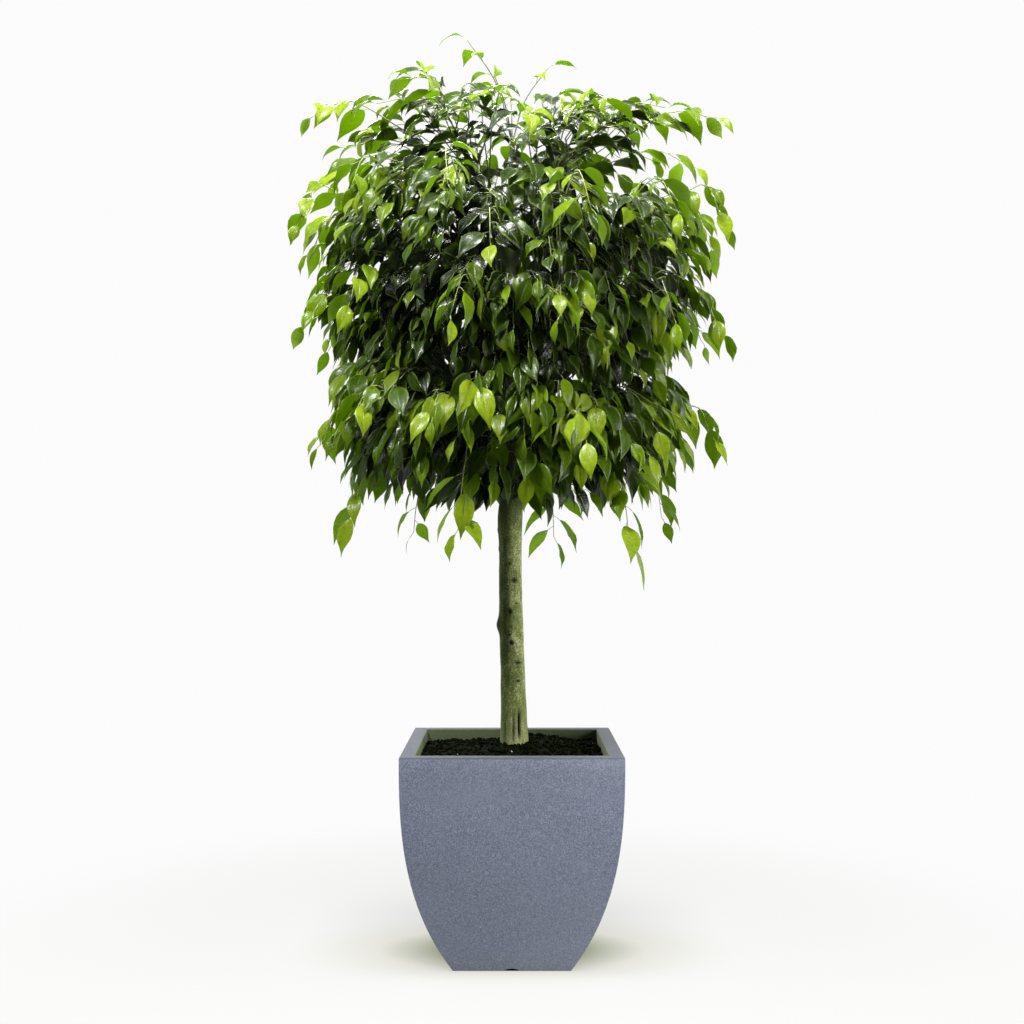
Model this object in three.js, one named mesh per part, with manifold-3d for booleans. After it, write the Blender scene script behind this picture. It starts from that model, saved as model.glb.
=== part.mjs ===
// A weeping fig grown as a standard: one bare trunk with a dense drooping head,
// in a square planter with bowed sides that is filled with potting soil.
// Millimetres, +Z up. The origin is the middle of the planter's underside.
import * as THREE from "three";
import { mergeVertices } from "three/addons/utils/BufferGeometryUtils.js";
import Module from "manifold-3d";

const wasm = await Module();
wasm.setup();

// Planter: the width of its rim sets every other size of the pot.
const PLANTER_WIDTH = 450;
const PLANTER_HEIGHT = 455;
const WALL = 31;
const FLOOR_THICKNESS = 30;
const SIDE_TAPER = 103; // how far each side comes in between rim and foot
const SIDE_POWER = 2.7; // how late that taper starts
const SIDE_STEPS = 8;
const CAVITY_STEPS = 5;
const DRAIN_RADIUS = 9;
const DRAIN_OFFSET = 66;
const CHANNEL_WIDTH = 31;
const CHANNEL_HEIGHT = 6;
const GAP = 0.35; // clearance between pieces that touch

// Soil, with its mound round the trunk.
const SOIL_EDGE = PLANTER_HEIGHT - 26;
const SOIL_MOUND = 24;
const MOUND_REACH = 120;
const CLOD = 5;
const SOIL_CORNERS = 24;

// Wood: the trunk goes down into the soil, and its leader up through the head.
const TRUNK_FOOT = SOIL_EDGE - 60;
const TRUNK_RADIUS = 28.5;
const FORK_RADIUS = 23.2;
const LEADER_TOP = 1740;
const LEADER_RADIUS = 5;
const FORK_HEIGHT = 960;
const TRUNK_SIDES = 12;
const SWAY = 3.5;
const FLARE = 6; // the swelling at the root collar, which is gone a few FLARE_REACH higher
const FLARE_REACH = 45;
const FLUTES = 5;
const KNOB_HEIGHT = 705;
const KNOB_RISE = 28;
const KNOB = 6;
const LIMB_SIDES = 5;
const LIMB_STEPS = 2;
const LIMB_BASE_RADIUS = 11;
const LIMB_END_RADIUS = 5;
const LIMB_BOW = 14;
const TWIG_RADIUS = 2.4;
const STEM_STEPS = 3;
const STEM_SAMPLES = 9;

// Leaves.
const LEAF_LENGTH = 68;
const LEAF_WIDTH = 32;
const LEAF_PARTS = [0.36, 0.38, 0.26]; // of its length: base to broadest part, on to the neck, and on to the tip
const NECK_WIDTH = 0.42;
const LEAF_VARIATION = 0.12;
const LEAF_TWIST = 0.5;
const PETIOLE = 15;
const PETIOLE_WIDTH = 1.8;
const RIDGE = 1.8;
const STANDOFF = 0.3; // how much a hanging blade leans outward
const ROOT_DEPTH = 24;
const LEAF_CLEARANCE = 16; // between the points of leaves on two boughs
const CLUMP_LEAVES = 24;
const SPRAY_LEAVES = 4;
const SHOOT_LEAVES = 6;
const BEND_TRIES = [0, 0.4, 0.9]; // how far a leaf is bent outward to clear a neighbour

// The head is cut like a tiered cake into one cell for each bough. A cell runs from near to far of the trunk's
// middle and from low to high, and its limb leaves the trunk at fork. Leaves face from slopes[0] to slopes[1],
// where -1 is straight down. The bough's sprays climb, then fall by these heights as they reach out to tips.
// Droop is how much the leaves on them hang.
const TIERS = [
  {
    name: "skirt", boughs: 6, bearing: 0, near: 118, far: 368, low: 1008, high: 1208, fork: 965,
    slopes: [-0.95, 0.6], climb: 15, fall: 60, tips: 455, droop: 1, dangles: true,
  },
  {
    name: "middle", boughs: 6, bearing: 30, near: 118, far: 374, low: 1218, high: 1422, fork: 1085,
    slopes: [-0.8, 0.7], climb: 30, fall: 70, tips: 462, droop: 1,
  },
  {
    name: "shoulder", boughs: 6, bearing: 0, near: 108, far: 386, low: 1432, high: 1636, fork: 1270,
    slopes: [-0.75, 0.9], climb: 35, fall: 75, tips: 470, droop: 0.9,
  },
  {
    name: "upper", boughs: 4, bearing: 45, near: 58, far: 326, low: 1646, high: 1768, fork: 1480,
    slopes: [-0.5, 0.98], climb: 25, fall: 30, tips: 462, droop: 0.5,
  },
];
const CELL_GAP = THREE.MathUtils.degToRad(1.6); // left free on each side of a cell
const FULLNESS = 0.78; // 1 makes a clump an ellipsoid, less fills its cell's corners
const CLUMP_COLUMNS = 8;
const CLUMP_ROWS = 4;
const CLUMP_SIZES = [0.79, 0.97]; // of its hollows and its bumps
const CLUMP_UNEVEN = 0.03;
const CLUMP_POLE = 0.9;
const CLUMP_KEEP_OUT = 1.1; // 1 is the surface of a full clump
const TIER_LIFT = 20;
const LEAF_FAN = THREE.MathUtils.degToRad(170); // how far round a clump its leaves go
const SPRAY_TURN = 0.45; // where the sprays stand between a cell's middle and its side
const SPRAY_ROOT = 0.3; // how far in from the cell's far side they start
const SPRAY_CREST = 0.3; // where they are highest, between the cell's far side and their tips
const SPRAY_END = 22; // the last leaf's own reach
const SPRAY_HEIGHT = 0.68; // of the cell's, before they climb
const DANGLE_DROP = 85;
const BARE_SPRAY = 0.5; // the share of a stem that has no leaves
const BARE_SHOOT = 0.34;

// Shoots that stand out of the top, by bearing in degrees, reach outward and rise above the leader.
const SHOOTS = [
  { bearing: 180, lean: 96, rise: 222 },
  { bearing: 335, lean: 84, rise: 150 },
  { bearing: 92, lean: 92, rise: 128 },
  { bearing: 250, lean: 108, rise: 112 },
  { bearing: 28, lean: 150, rise: 98 },
];
const GROWING_TIP = 15;
const SEED = 2026;

const UP = new THREE.Vector3(0, 0, 1);
const DOWN = new THREE.Vector3(0, 0, -1);

// Random numbers from 0 to 1, the same on every run.
let drawState = SEED;
function draw() {
  drawState = (Math.imul(drawState, 1664525) + 1013904223) >>> 0;
  return drawState / 2 ** 32;
}

function spread(size) {
  return (draw() - 0.5) * 2 * size;
}

// The weighted sum of directions, given as [vector, weight, vector, weight, ...].
function sum(...terms) {
  const total = new THREE.Vector3();
  for (let i = 0; i < terms.length; i += 2) total.addScaledVector(terms[i], terms[i + 1]);
  return total;
}

function unit(...terms) {
  return sum(...terms).normalize();
}

// A closed skin over rings of points, which all run the same way round. A ring of one point is a tip.
function skin(rings) {
  const points = rings.flat();
  const faces = [];
  let start = 0;
  for (let r = 0; r + 1 < rings.length; r++) {
    const [near, far] = [rings[r].length, rings[r + 1].length];
    const next = start + near;
    const sides = Math.max(near, far);
    for (let i = 0; i < sides; i++) {
      const j = (i + 1) % sides;
      if (near > 1) faces.push(start + i, start + j, next + (far > 1 ? j : 0));
      if (far > 1) faces.push(start + (near > 1 ? i : 0), next + j, next + i);
    }
    start = next;
  }
  const last = rings[rings.length - 1].length;
  for (let i = 1; i + 1 < rings[0].length; i++) faces.push(0, i + 1, i);
  for (let i = 1; i + 1 < last; i++) faces.push(start, start + i, start + i + 1);
  const geometry = new THREE.BufferGeometry().setFromPoints(points);
  geometry.setIndex(faces);
  return geometry;
}

// A closed geometry as a solid whose faces point out.
function toSolid(geometry) {
  const bare = geometry.clone();
  bare.deleteAttribute("normal");
  bare.deleteAttribute("uv");
  const merged = mergeVertices(bare, 1e-3);
  const triVerts = [];
  for (let i = 0; i < merged.index.count; i += 3) {
    const [a, b, c] = merged.index.array.slice(i, i + 3);
    if (a !== b && b !== c && c !== a) triVerts.push(a, b, c);
  }
  const build = (faces) =>
    new wasm.Manifold(
      new wasm.Mesh({ numProp: 3, vertProperties: merged.attributes.position.array, triVerts: faces }),
    );
  const made = build(new Uint32Array(triVerts));
  return made.volume() > 0 ? made : build(new Uint32Array(triVerts.reverse()));
}

function toMesh(name, solid, material) {
  const { vertProperties, triVerts } = solid.getMesh();
  const geometry = new THREE.BufferGeometry();
  geometry.setAttribute("position", new THREE.BufferAttribute(vertProperties, 3));
  geometry.setIndex(new THREE.BufferAttribute(triVerts, 1));
  const mesh = new THREE.Mesh(geometry, material);
  mesh.name = name;
  return mesh;
}

// Only the largest body of a solid, so that a scrap cut off by a neighbour is dropped.
function largestBody(solid) {
  return solid.decompose().reduce((best, body) => (body.volume() > best.volume() ? body : best));
}

function joined(solids) {
  return solids.reduce((whole, solid) => whole.add(solid));
}

// A tube of varying radius through points.
function taperedTube(points, radiusAt, sides, steps) {
  const curve = new THREE.CatmullRomCurve3(points);
  const frames = curve.computeFrenetFrames(steps);
  const rings = [];
  for (let k = 0; k <= steps; k++) {
    const middle = curve.getPoint(k / steps);
    const ring = [];
    for (let i = 0; i < sides; i++) {
      const angle = (2 * Math.PI * i) / sides;
      const out = sum(frames.normals[k], Math.cos(angle), frames.binormals[k], Math.sin(angle));
      ring.push(middle.clone().addScaledVector(out, radiusAt(k / steps)));
    }
    rings.push(ring);
  }
  return skin(rings);
}

// Half the planter's width at a height.
function sideAt(height) {
  const below = (PLANTER_HEIGHT - height) / PLANTER_HEIGHT;
  return PLANTER_WIDTH / 2 - SIDE_TAPER * below ** SIDE_POWER;
}

// Heights from top to bottom, closer together where the sides curve most.
function heights(top, bottom, steps) {
  return Array.from({ length: steps + 1 }, (_, i) => {
    const share = Math.sin(((i / steps) * Math.PI) / 2);
    return top + (bottom - top) * share;
  });
}

const cavityHeights = heights(PLANTER_HEIGHT, FLOOR_THICKNESS, CAVITY_STEPS);

// Half the width of the cavity at a height, on the flat facets of its walls.
function cavityAt(height) {
  const below = cavityHeights.findIndex((z) => z <= height);
  const [lower, upper] = [cavityHeights[below], cavityHeights[Math.max(below - 1, 0)]];
  const share = upper > lower ? (height - lower) / (upper - lower) : 0;
  return THREE.MathUtils.lerp(sideAt(lower), sideAt(upper), share) - WALL;
}

// A lathe of four sides makes the square body, its wall and its floor in one profile.
function planter() {
  const corner = (side, height) => new THREE.Vector2(side * Math.SQRT2, height);
  const profile = [
    new THREE.Vector2(0, 0),
    ...heights(PLANTER_HEIGHT, 0, SIDE_STEPS).reverse().map((z) => corner(sideAt(z), z)),
    ...cavityHeights.map((z) => corner(sideAt(z) - WALL, z)),
    new THREE.Vector2(0, FLOOR_THICKNESS),
  ];
  const body = new THREE.LatheGeometry(profile, 4);
  body.rotateX(Math.PI / 2);
  body.rotateZ(Math.PI / 4);
  let solid = toSolid(body);
  const channelReach = sideAt(0) + 10 - DRAIN_OFFSET;
  for (let side = 0; side < 4; side++) {
    const turn = (side * Math.PI) / 2;
    const hole = new THREE.CylinderGeometry(DRAIN_RADIUS, DRAIN_RADIUS, 3 * FLOOR_THICKNESS, 10);
    hole.rotateX(Math.PI / 2);
    hole.translate(DRAIN_OFFSET, 0, 0);
    hole.rotateZ(turn);
    const arch = new THREE.CylinderGeometry(1, 1, channelReach, 12);
    arch.rotateZ(Math.PI / 2);
    arch.scale(1, CHANNEL_WIDTH / 2, CHANNEL_HEIGHT);
    arch.translate(DRAIN_OFFSET + channelReach / 2, 0, 0);
    arch.rotateZ(turn);
    solid = solid.subtract(toSolid(hole)).subtract(toSolid(arch));
  }
  return solid;
}

// Places round a square ring, evenly along its sides.
function squareRing(half, heightAt) {
  const perSide = SOIL_CORNERS / 4;
  return Array.from({ length: SOIL_CORNERS }, (_, i) => {
    const along = -half + (2 * half * (i % perSide)) / perSide;
    const place = new THREE.Vector3(along, -half, 0).applyAxisAngle(UP, (Math.floor(i / perSide) * Math.PI) / 2);
    place.z = heightAt(place.x, place.y);
    return place;
  });
}

function soilHeight(x, y) {
  return SOIL_EDGE + SOIL_MOUND * Math.exp(-((x * x + y * y) / MOUND_REACH ** 2));
}

// The soil fills the planter down to its floor, and its top is a mound of clods.
function soil(trunkHole) {
  const walls = cavityHeights
    .filter((z) => z < SOIL_EDGE - 15)
    .reverse()
    .map((z) => squareRing(cavityAt(z) - GAP, () => z + (z === FLOOR_THICKNESS ? GAP : 0)));
  const edge = squareRing(cavityAt(SOIL_EDGE - CLOD) - GAP, () => SOIL_EDGE + spread(CLOD / 2));
  const tops = [0.84, 0.66, 0.48, 0.3, 0.16].map((share) =>
    squareRing(cavityAt(SOIL_EDGE) * share, (x, y) => soilHeight(x, y) + spread(CLOD)),
  );
  const middle = [new THREE.Vector3(0, 0, soilHeight(0, 0))];
  const body = toSolid(skin([...walls, edge, ...tops, middle]));
  return largestBody(body.subtract(trunkHole));
}

// The middle of the trunk sways a little as it rises.
function trunkMiddle(height) {
  const rise = (height - TRUNK_FOOT) / (FORK_HEIGHT - TRUNK_FOOT);
  return new THREE.Vector3(SWAY * Math.sin(5.2 * rise + 0.6), SWAY * Math.sin(4.1 * rise), height);
}

function trunkRadius(height) {
  if (height > FORK_HEIGHT) {
    const rise = (height - FORK_HEIGHT) / (LEADER_TOP - FORK_HEIGHT);
    return THREE.MathUtils.lerp(FORK_RADIUS, LEADER_RADIUS, rise);
  }
  return THREE.MathUtils.mapLinear(height, TRUNK_FOOT, FORK_HEIGHT, TRUNK_RADIUS, FORK_RADIUS);
}

// The trunk with the flare and flutes of its root collar and one healed knob on its left.
function trunk(grow) {
  const levels = [
    TRUNK_FOOT, SOIL_EDGE, SOIL_EDGE + 22, SOIL_EDGE + 50, 530, 600, KNOB_HEIGHT - KNOB_RISE,
    KNOB_HEIGHT, KNOB_HEIGHT + KNOB_RISE, 800, 900, FORK_HEIGHT, 1150, 1350, 1550, LEADER_TOP,
  ];
  const rings = levels.map((height) => {
    const middle = trunkMiddle(height);
    const flare = FLARE * Math.exp(-Math.max(0, height - SOIL_EDGE) / FLARE_REACH);
    return Array.from({ length: TRUNK_SIDES }, (_, i) => {
      const angle = (2 * Math.PI * i) / TRUNK_SIDES;
      const flute = flare * (1 + 0.5 * Math.cos(angle * FLUTES));
      const knob = height === KNOB_HEIGHT && Math.cos(angle) < -0.8 ? KNOB : 0;
      const radius = trunkRadius(height) + flute + knob + grow;
      return new THREE.Vector3(middle.x + radius * Math.cos(angle), middle.y + radius * Math.sin(angle), height);
    });
  });
  return skin(rings);
}

// Every bough has its cell and its bearing.
function boughList() {
  return TIERS.flatMap((tier) =>
    Array.from({ length: tier.boughs }, (_, k) => {
      const bearing = THREE.MathUtils.degToRad(tier.bearing + (360 * k) / tier.boughs);
      const halfTurn = Math.PI / tier.boughs - CELL_GAP;
      const name = `${tier.name}_bough_${k + 1}`;
      return { ...tier, name, bearing, halfTurn, stemLeaves: SPRAY_LEAVES, bare: BARE_SPRAY };
    }),
  );
}

// A place by its distance from the trunk's middle, its bearing and its height.
function polar(distance, bearing, height) {
  return new THREE.Vector3(distance * Math.cos(bearing), distance * Math.sin(bearing), height);
}

// How far the tiers are raised at a bearing, so that they don't lie level round the head.
function tierLift(bearing) {
  return TIER_LIFT * (Math.sin(2 * bearing + 0.7) + 0.5 * Math.sin(3 * bearing + 2));
}

// A point of a bough's clump, a wedge with rounded edges. At size 1 it touches the sides of its cell.
function clumpPoint(bough, latitude, longitude, size) {
  const full = (value) => Math.sign(value) * Math.abs(value) ** FULLNESS;
  const level = full(Math.cos(latitude)) * size;
  const distance = (bough.far + bough.near + (bough.far - bough.near) * level * full(Math.cos(longitude))) / 2;
  const bearing = bough.bearing + bough.halfTurn * level * full(Math.sin(longitude));
  const height = (bough.high + bough.low + (bough.high - bough.low) * size * full(Math.sin(latitude))) / 2;
  return polar(distance, bearing, height + tierLift(bearing));
}

// Whether a point is inside a bough's clump or close to it.
function inClump(bough, point) {
  const bearing = Math.atan2(point.y, point.x);
  const turn = THREE.MathUtils.euclideanModulo(bearing - bough.bearing + Math.PI, 2 * Math.PI) - Math.PI;
  const away = [
    (2 * Math.hypot(point.x, point.y) - bough.far - bough.near) / (bough.far - bough.near),
    turn / bough.halfTurn,
    (2 * (point.z - tierLift(bearing)) - bough.high - bough.low) / (bough.high - bough.low),
  ];
  return away.reduce((total, part) => total + Math.abs(part) ** (2 / FULLNESS), 0) < CLUMP_KEEP_OUT;
}

// A bough's limb rises out of the trunk and ends in the middle of the clump.
function limb(bough, grow) {
  const start = trunkMiddle(bough.fork);
  const reach = (bough.near + bough.far) / 2 - (bough.far - bough.near) * 0.1;
  const end = polar(reach, bough.bearing, (bough.low + bough.high) / 2 + tierLift(bough.bearing));
  const knee = sum(start, 0.5, end, 0.5).addScaledVector(UP, LIMB_BOW);
  end.addScaledVector(unit(end, 1, knee, -1), grow);
  const radiusAt = (t) => THREE.MathUtils.lerp(LIMB_BASE_RADIUS, LIMB_END_RADIUS, t) + grow;
  return taperedTube([start, knee, end], radiusAt, LIMB_SIDES, LIMB_STEPS);
}

// The core of a clump has high and low points by turns. Leaves stand out of it.
function clumpCore(bough) {
  const rings = [[clumpPoint(bough, -Math.PI / 2, 0, CLUMP_POLE)]];
  for (let row = 1; row <= CLUMP_ROWS; row++) {
    const latitude = (row / (CLUMP_ROWS + 1) - 0.5) * Math.PI;
    rings.push(
      Array.from({ length: CLUMP_COLUMNS }, (_, i) => {
        const longitude = (2 * Math.PI * (i + (row % 2) / 2)) / CLUMP_COLUMNS;
        return clumpPoint(bough, latitude, longitude, CLUMP_SIZES[(i + row) % 2] + spread(CLUMP_UNEVEN));
      }),
    );
  }
  rings.push([clumpPoint(bough, Math.PI / 2, 0, CLUMP_POLE)]);
  return skin(rings);
}

// The line of a leaf: its blade's base, broadest part, neck and tip.
function leafLine(leaf) {
  const [toBroad, toNeck, toTip] = LEAF_PARTS.map((share) => share * leaf.length);
  const base = sum(leaf.root, 1, leaf.rise, PETIOLE);
  const broad = sum(base, 1, unit(leaf.rise, 1, leaf.hang, 1), toBroad);
  const neck = sum(broad, 1, leaf.hang, toNeck);
  const tip = sum(neck, 1, unit(leaf.hang, 1.5, DOWN, 1), toTip);
  return [base, broad, neck, tip];
}

// A leaf is one closed blade, flat beneath, with its midrib as a ridge along the upper side. One that grows
// straight out of a clump is plainer, because its stalk is hidden.
function leafSkin(leaf) {
  const [base, broad, neck, tip] = leafLine(leaf);
  const face = new THREE.Vector3().crossVectors(leaf.across, leaf.hang).normalize();
  const section = (middle, width, ridge) => [
    sum(middle, 1, leaf.across, -width / 2),
    sum(middle, 1, face, ridge),
    sum(middle, 1, leaf.across, width / 2),
  ];
  const buried = sum(leaf.root, 1, leaf.rise, -leaf.sink);
  if (leaf.sink) return skin([[buried], section(broad, leaf.width, RIDGE), [tip]]);
  return skin([
    section(buried, PETIOLE_WIDTH, PETIOLE_WIDTH),
    section(base, PETIOLE_WIDTH * 1.5, PETIOLE_WIDTH),
    section(broad, leaf.width, RIDGE),
    section(neck, leaf.width * NECK_WIDTH, RIDGE),
    [tip],
  ]);
}

// Points all over a leaf, for keeping it clear of its neighbours.
function leafPoints(leaf) {
  const [base, broad, neck, tip] = leafLine(leaf);
  const edge = (side) => sum(broad, 1, leaf.across, (side * leaf.width) / 2);
  return [base, broad, edge(-1), edge(1), neck, tip];
}

// A leaf rises from its root on a stalk, and its blade then hangs. Sink is how deep its root goes.
function makeLeaf(root, rise, hang, outward, sink) {
  const size = 1 + spread(LEAF_VARIATION);
  const across = new THREE.Vector3().crossVectors(hang, unit(rise, 1, outward, 0.4)).normalize();
  across.applyAxisAngle(hang, spread(LEAF_TWIST));
  return { root, rise, hang, across, outward, sink, length: LEAF_LENGTH * size, width: LEAF_WIDTH * size };
}

function bentOut(leaf, amount) {
  const hang = unit(leaf.hang, 1, leaf.outward, amount);
  return { ...leaf, hang, across: leaf.across.clone().projectOnPlane(hang).normalize() };
}

// The leaves of a clump cover the side of it that shows from outside the head.
function clumpLeaves(bough) {
  const [lowest, highest] = bough.slopes;
  return Array.from({ length: CLUMP_LEAVES }, (_, k) => {
    const slope = THREE.MathUtils.lerp(highest, lowest, (k + 0.5) / CLUMP_LEAVES);
    const latitude = Math.asin(slope);
    const longitude = (((k * 0.618034) % 1) - 0.5) * LEAF_FAN;
    const root = clumpPoint(bough, latitude, longitude, CLUMP_SIZES[1]);
    const normal = unit(root, 1, clumpPoint(bough, latitude, longitude, CLUMP_SIZES[0]), -1);
    const outward = polar(1, Math.atan2(root.y, root.x), 0);
    const over = Math.max(slope, 0);
    const downhill = unit(DOWN, 1, normal, over, outward, 0.5 * over);
    const around = new THREE.Vector3(-outward.y, outward.x, 0);
    const hang = unit(downhill, 1, normal, STANDOFF + spread(STANDOFF / 3), around, spread(0.2));
    return makeLeaf(root, unit(normal, 1, outward, 0.25), hang, outward, ROOT_DEPTH);
  });
}

// A spray comes out of the clump, climbs a little and droops. A dangling one falls from the clump's underside.
function sprays(bough) {
  const reach = bough.far - bough.near;
  const rise = bough.high - bough.low;
  return [-1, 1].map((side) => {
    const bearing = bough.bearing + side * bough.halfTurn * SPRAY_TURN;
    const foot = bough.low + tierLift(bearing);
    if (bough.dangles && side > 0) {
      const drop = DANGLE_DROP + spread(20);
      return stem([
        polar(bough.far - reach * SPRAY_ROOT, bearing, foot + rise * 0.3),
        polar(bough.far - reach * 0.16, bearing, foot - drop * 0.3),
        polar(bough.far - reach * 0.12, bearing, foot - drop),
      ]);
    }
    const crest = foot + rise * SPRAY_HEIGHT + bough.climb + spread(8);
    return stem([
      polar(bough.far - reach * SPRAY_ROOT, bearing, foot + rise * 0.55),
      polar(THREE.MathUtils.lerp(bough.far, bough.tips, SPRAY_CREST), bearing, crest),
      polar(bough.tips - SPRAY_END + spread(8), bearing + spread(0.05), crest - bough.fall - spread(12)),
    ]);
  });
}

// A stem is a row of points on a smooth curve.
function stem(points) {
  return new THREE.CatmullRomCurve3(points).getPoints(STEM_STEPS);
}

function stemPlace(points, along) {
  const step = Math.min(Math.floor(along * STEM_STEPS), STEM_STEPS - 1);
  return {
    root: points[step].clone().lerp(points[step + 1], along * STEM_STEPS - step),
    onward: unit(points[step + 1], 1, points[step], -1),
  };
}

// Leaves stand to either side of a stem in turn, up to the one at its end. Droop is how much they hang.
function stemLeaves(points, count, bare, droop) {
  return Array.from({ length: count }, (_, k) => {
    const { root, onward } = stemPlace(points, THREE.MathUtils.lerp(bare, 0.98, k / (count - 1)));
    const outward = polar(1, Math.atan2(root.y, root.x), 0);
    const lateral = new THREE.Vector3(-outward.y, outward.x, 0).multiplyScalar(k % 2 ? 1 : -1);
    const aside = k === count - 1 ? 0.1 : 0.8;
    const rise = unit(onward, 0.7, lateral, aside, UP, 0.1);
    const hang = unit(DOWN, droop, outward, STANDOFF + spread(STANDOFF / 3), lateral, STANDOFF * aside);
    return makeLeaf(root, rise, hang, outward, 0);
  });
}

function twig(points) {
  return taperedTube(points, (t) => TWIG_RADIUS * (1.2 - 0.4 * t), 3, STEM_STEPS);
}

// The leader's last shoots, which start together in its growing tip.
function crownShoots() {
  const tip = trunkMiddle(LEADER_TOP);
  return SHOOTS.map(({ bearing, lean, rise }) => {
    const turn = THREE.MathUtils.degToRad(bearing);
    const bend = sum(tip, 1, polar(lean * 0.35, turn, rise * 0.58), 1);
    return stem([tip, bend, sum(tip, 1, polar(lean, turn, rise), 1)]);
  });
}

// The bud that holds the shoots together, round the leader's end.
function growingTip() {
  const tip = trunkMiddle(LEADER_TOP);
  const bud = new THREE.OctahedronGeometry(GROWING_TIP);
  bud.translate(tip.x, tip.y, tip.z);
  return bud;
}

// Keeps the leaves that are clear of every other bough, bent outward where that clears them.
function clearLeaves(leaves, bough, boughs) {
  const others = boughs.filter((other) => other !== bough);
  const isClear = (leaf) => {
    const points = leafPoints(leaf);
    return others.every(
      (other) =>
        !(other.halfTurn && points.some((point) => inClump(other, point))) &&
        other.lines.every((theirs) => points.every((point) => point.distanceTo(theirs) > LEAF_CLEARANCE)),
    );
  };
  return leaves.flatMap((leaf) => {
    const kept = BEND_TRIES.map((amount) => bentOut(leaf, amount)).find(isClear);
    return kept ? [kept] : [];
  });
}

const PAINT = {
  planter: new THREE.MeshStandardMaterial({ color: 0x747a8b, roughness: 0.85, metalness: 0 }),
  soil: new THREE.MeshStandardMaterial({ color: 0x15170a, roughness: 1, metalness: 0 }),
  bark: new THREE.MeshStandardMaterial({ color: 0x7d8358, roughness: 0.85, metalness: 0 }),
  leaf: new THREE.MeshStandardMaterial({ color: 0x3f7010, roughness: 0.4, metalness: 0 }),
};

function build() {
  const boughs = boughList();
  for (const bough of boughs) bough.stems = sprays(bough);
  const crown = { name: "crown", stems: crownShoots(), stemLeaves: SHOOT_LEAVES, bare: BARE_SHOOT, droop: 0.25 };
  const head = [...boughs, crown];
  const samples = Array.from({ length: STEM_SAMPLES }, (_, i) => 1 - ((1 - BARE_SHOOT) * i) / STEM_SAMPLES);
  for (const bough of head) {
    bough.lines = bough.stems.flatMap((points) => samples.map((along) => stemPlace(points, along).root));
  }

  const wood = (grow) => joined([toSolid(trunk(grow)), ...boughs.map((bough) => toSolid(limb(bough, grow)))]);
  const woodWithGap = wood(GAP);
  const group = new THREE.Group();
  group.add(toMesh("planter", planter(), PAINT.planter));
  group.add(toMesh("soil", soil(toSolid(trunk(GAP))), PAINT.soil));
  group.add(toMesh("trunk", wood(0), PAINT.bark));
  for (const bough of head) {
    const onStems = bough.stems.flatMap((points) => stemLeaves(points, bough.stemLeaves, bough.bare, bough.droop));
    const leaves = clearLeaves(bough === crown ? onStems : [...onStems, ...clumpLeaves(bough)], bough, head);
    bough.lines.push(...leaves.flatMap(leafPoints));
    const core = bough === crown ? growingTip() : clumpCore(bough);
    const whole = joined([core, ...bough.stems.map(twig), ...leaves.map(leafSkin)].map(toSolid));
    group.add(toMesh(bough.name, largestBody(whole.subtract(woodWithGap)), PAINT.leaf));
  }
  return group;
}

export default build();
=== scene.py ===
"""A weeping fig grown as a standard tree, in a square planter with bowed sides."""

import math
from types import SimpleNamespace

import bmesh
import bpy
import numpy as np
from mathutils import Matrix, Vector, noise


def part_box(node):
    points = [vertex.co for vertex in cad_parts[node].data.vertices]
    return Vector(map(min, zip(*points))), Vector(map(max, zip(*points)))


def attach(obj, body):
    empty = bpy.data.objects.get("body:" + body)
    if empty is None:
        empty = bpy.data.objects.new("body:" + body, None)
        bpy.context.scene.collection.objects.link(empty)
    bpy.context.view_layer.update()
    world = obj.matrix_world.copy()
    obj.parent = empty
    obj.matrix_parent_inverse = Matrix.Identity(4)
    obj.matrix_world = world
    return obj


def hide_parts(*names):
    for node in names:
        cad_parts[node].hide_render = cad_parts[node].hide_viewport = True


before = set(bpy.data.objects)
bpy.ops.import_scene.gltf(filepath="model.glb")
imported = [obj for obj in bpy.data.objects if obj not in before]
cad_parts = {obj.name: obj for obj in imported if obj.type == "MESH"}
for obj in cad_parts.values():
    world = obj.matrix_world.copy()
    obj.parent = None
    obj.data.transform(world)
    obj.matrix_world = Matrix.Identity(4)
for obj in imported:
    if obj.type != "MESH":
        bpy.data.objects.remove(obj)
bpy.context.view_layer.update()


# Studio
#
# A pale floor that glows a little, with a shadow painted round the planter's foot, and fades into a white
# surround, under a wide box of its own that only the planter shades.
# The tree has a box overhead, one high at the left, one at the right, and one behind that shines through
# the leaves.

CAMERA_DISTANCE = 2.871
CAMERA_HEIGHT = 0.871
LENS = 46.94  # on the usual sensor, 36 mm wide
FRAME_SHIFT = 0.0352
FLOOR_SIZE = 4
FLOOR_COLOUR = (0.04, 0.04, 0.04)
# The floor's own glow keeps the planter's real shadow on it faint. Its colour paints a shadow round the foot:
# dark and green next to it, then beige, then pale on the open floor.
FLOOR_GLOW_AND_PAINTED_SHADE = ((0.12, (0.25, 0.28, 0.17)), (0.23, (0.60, 0.595, 0.535)), (0.40, (0.64, 0.64, 0.63)))
# Where that painted shadow is darkest, and how fast it gives way to the glow along each axis.
PAINTED_SHADE_MIDDLE = (0, 0.03, 0)
PAINTED_SHADE_SCALE = (0.8, 1.45, 1)  # how fast the glow rises from that middle, along each axis
# Under the foot the glow is cut to black, a painted shade seen through the arches.
PAINTED_FOOT_SHADE_EDGE = (0.117, 0.124)  # from the dark floor under the foot to the open one
FLOOR_FADE = (0.45, 1.5)
SURROUND_SEEN = 0.97
# The surround's light on the tree, from the camera's side and from behind, and where along Y it changes.
SURROUND_LIGHT = (0.03, 1.3)
SURROUND_TURN = (-0.3, 0.6)

scene = bpy.context.scene
scene.view_settings.view_transform = "Standard"


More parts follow.
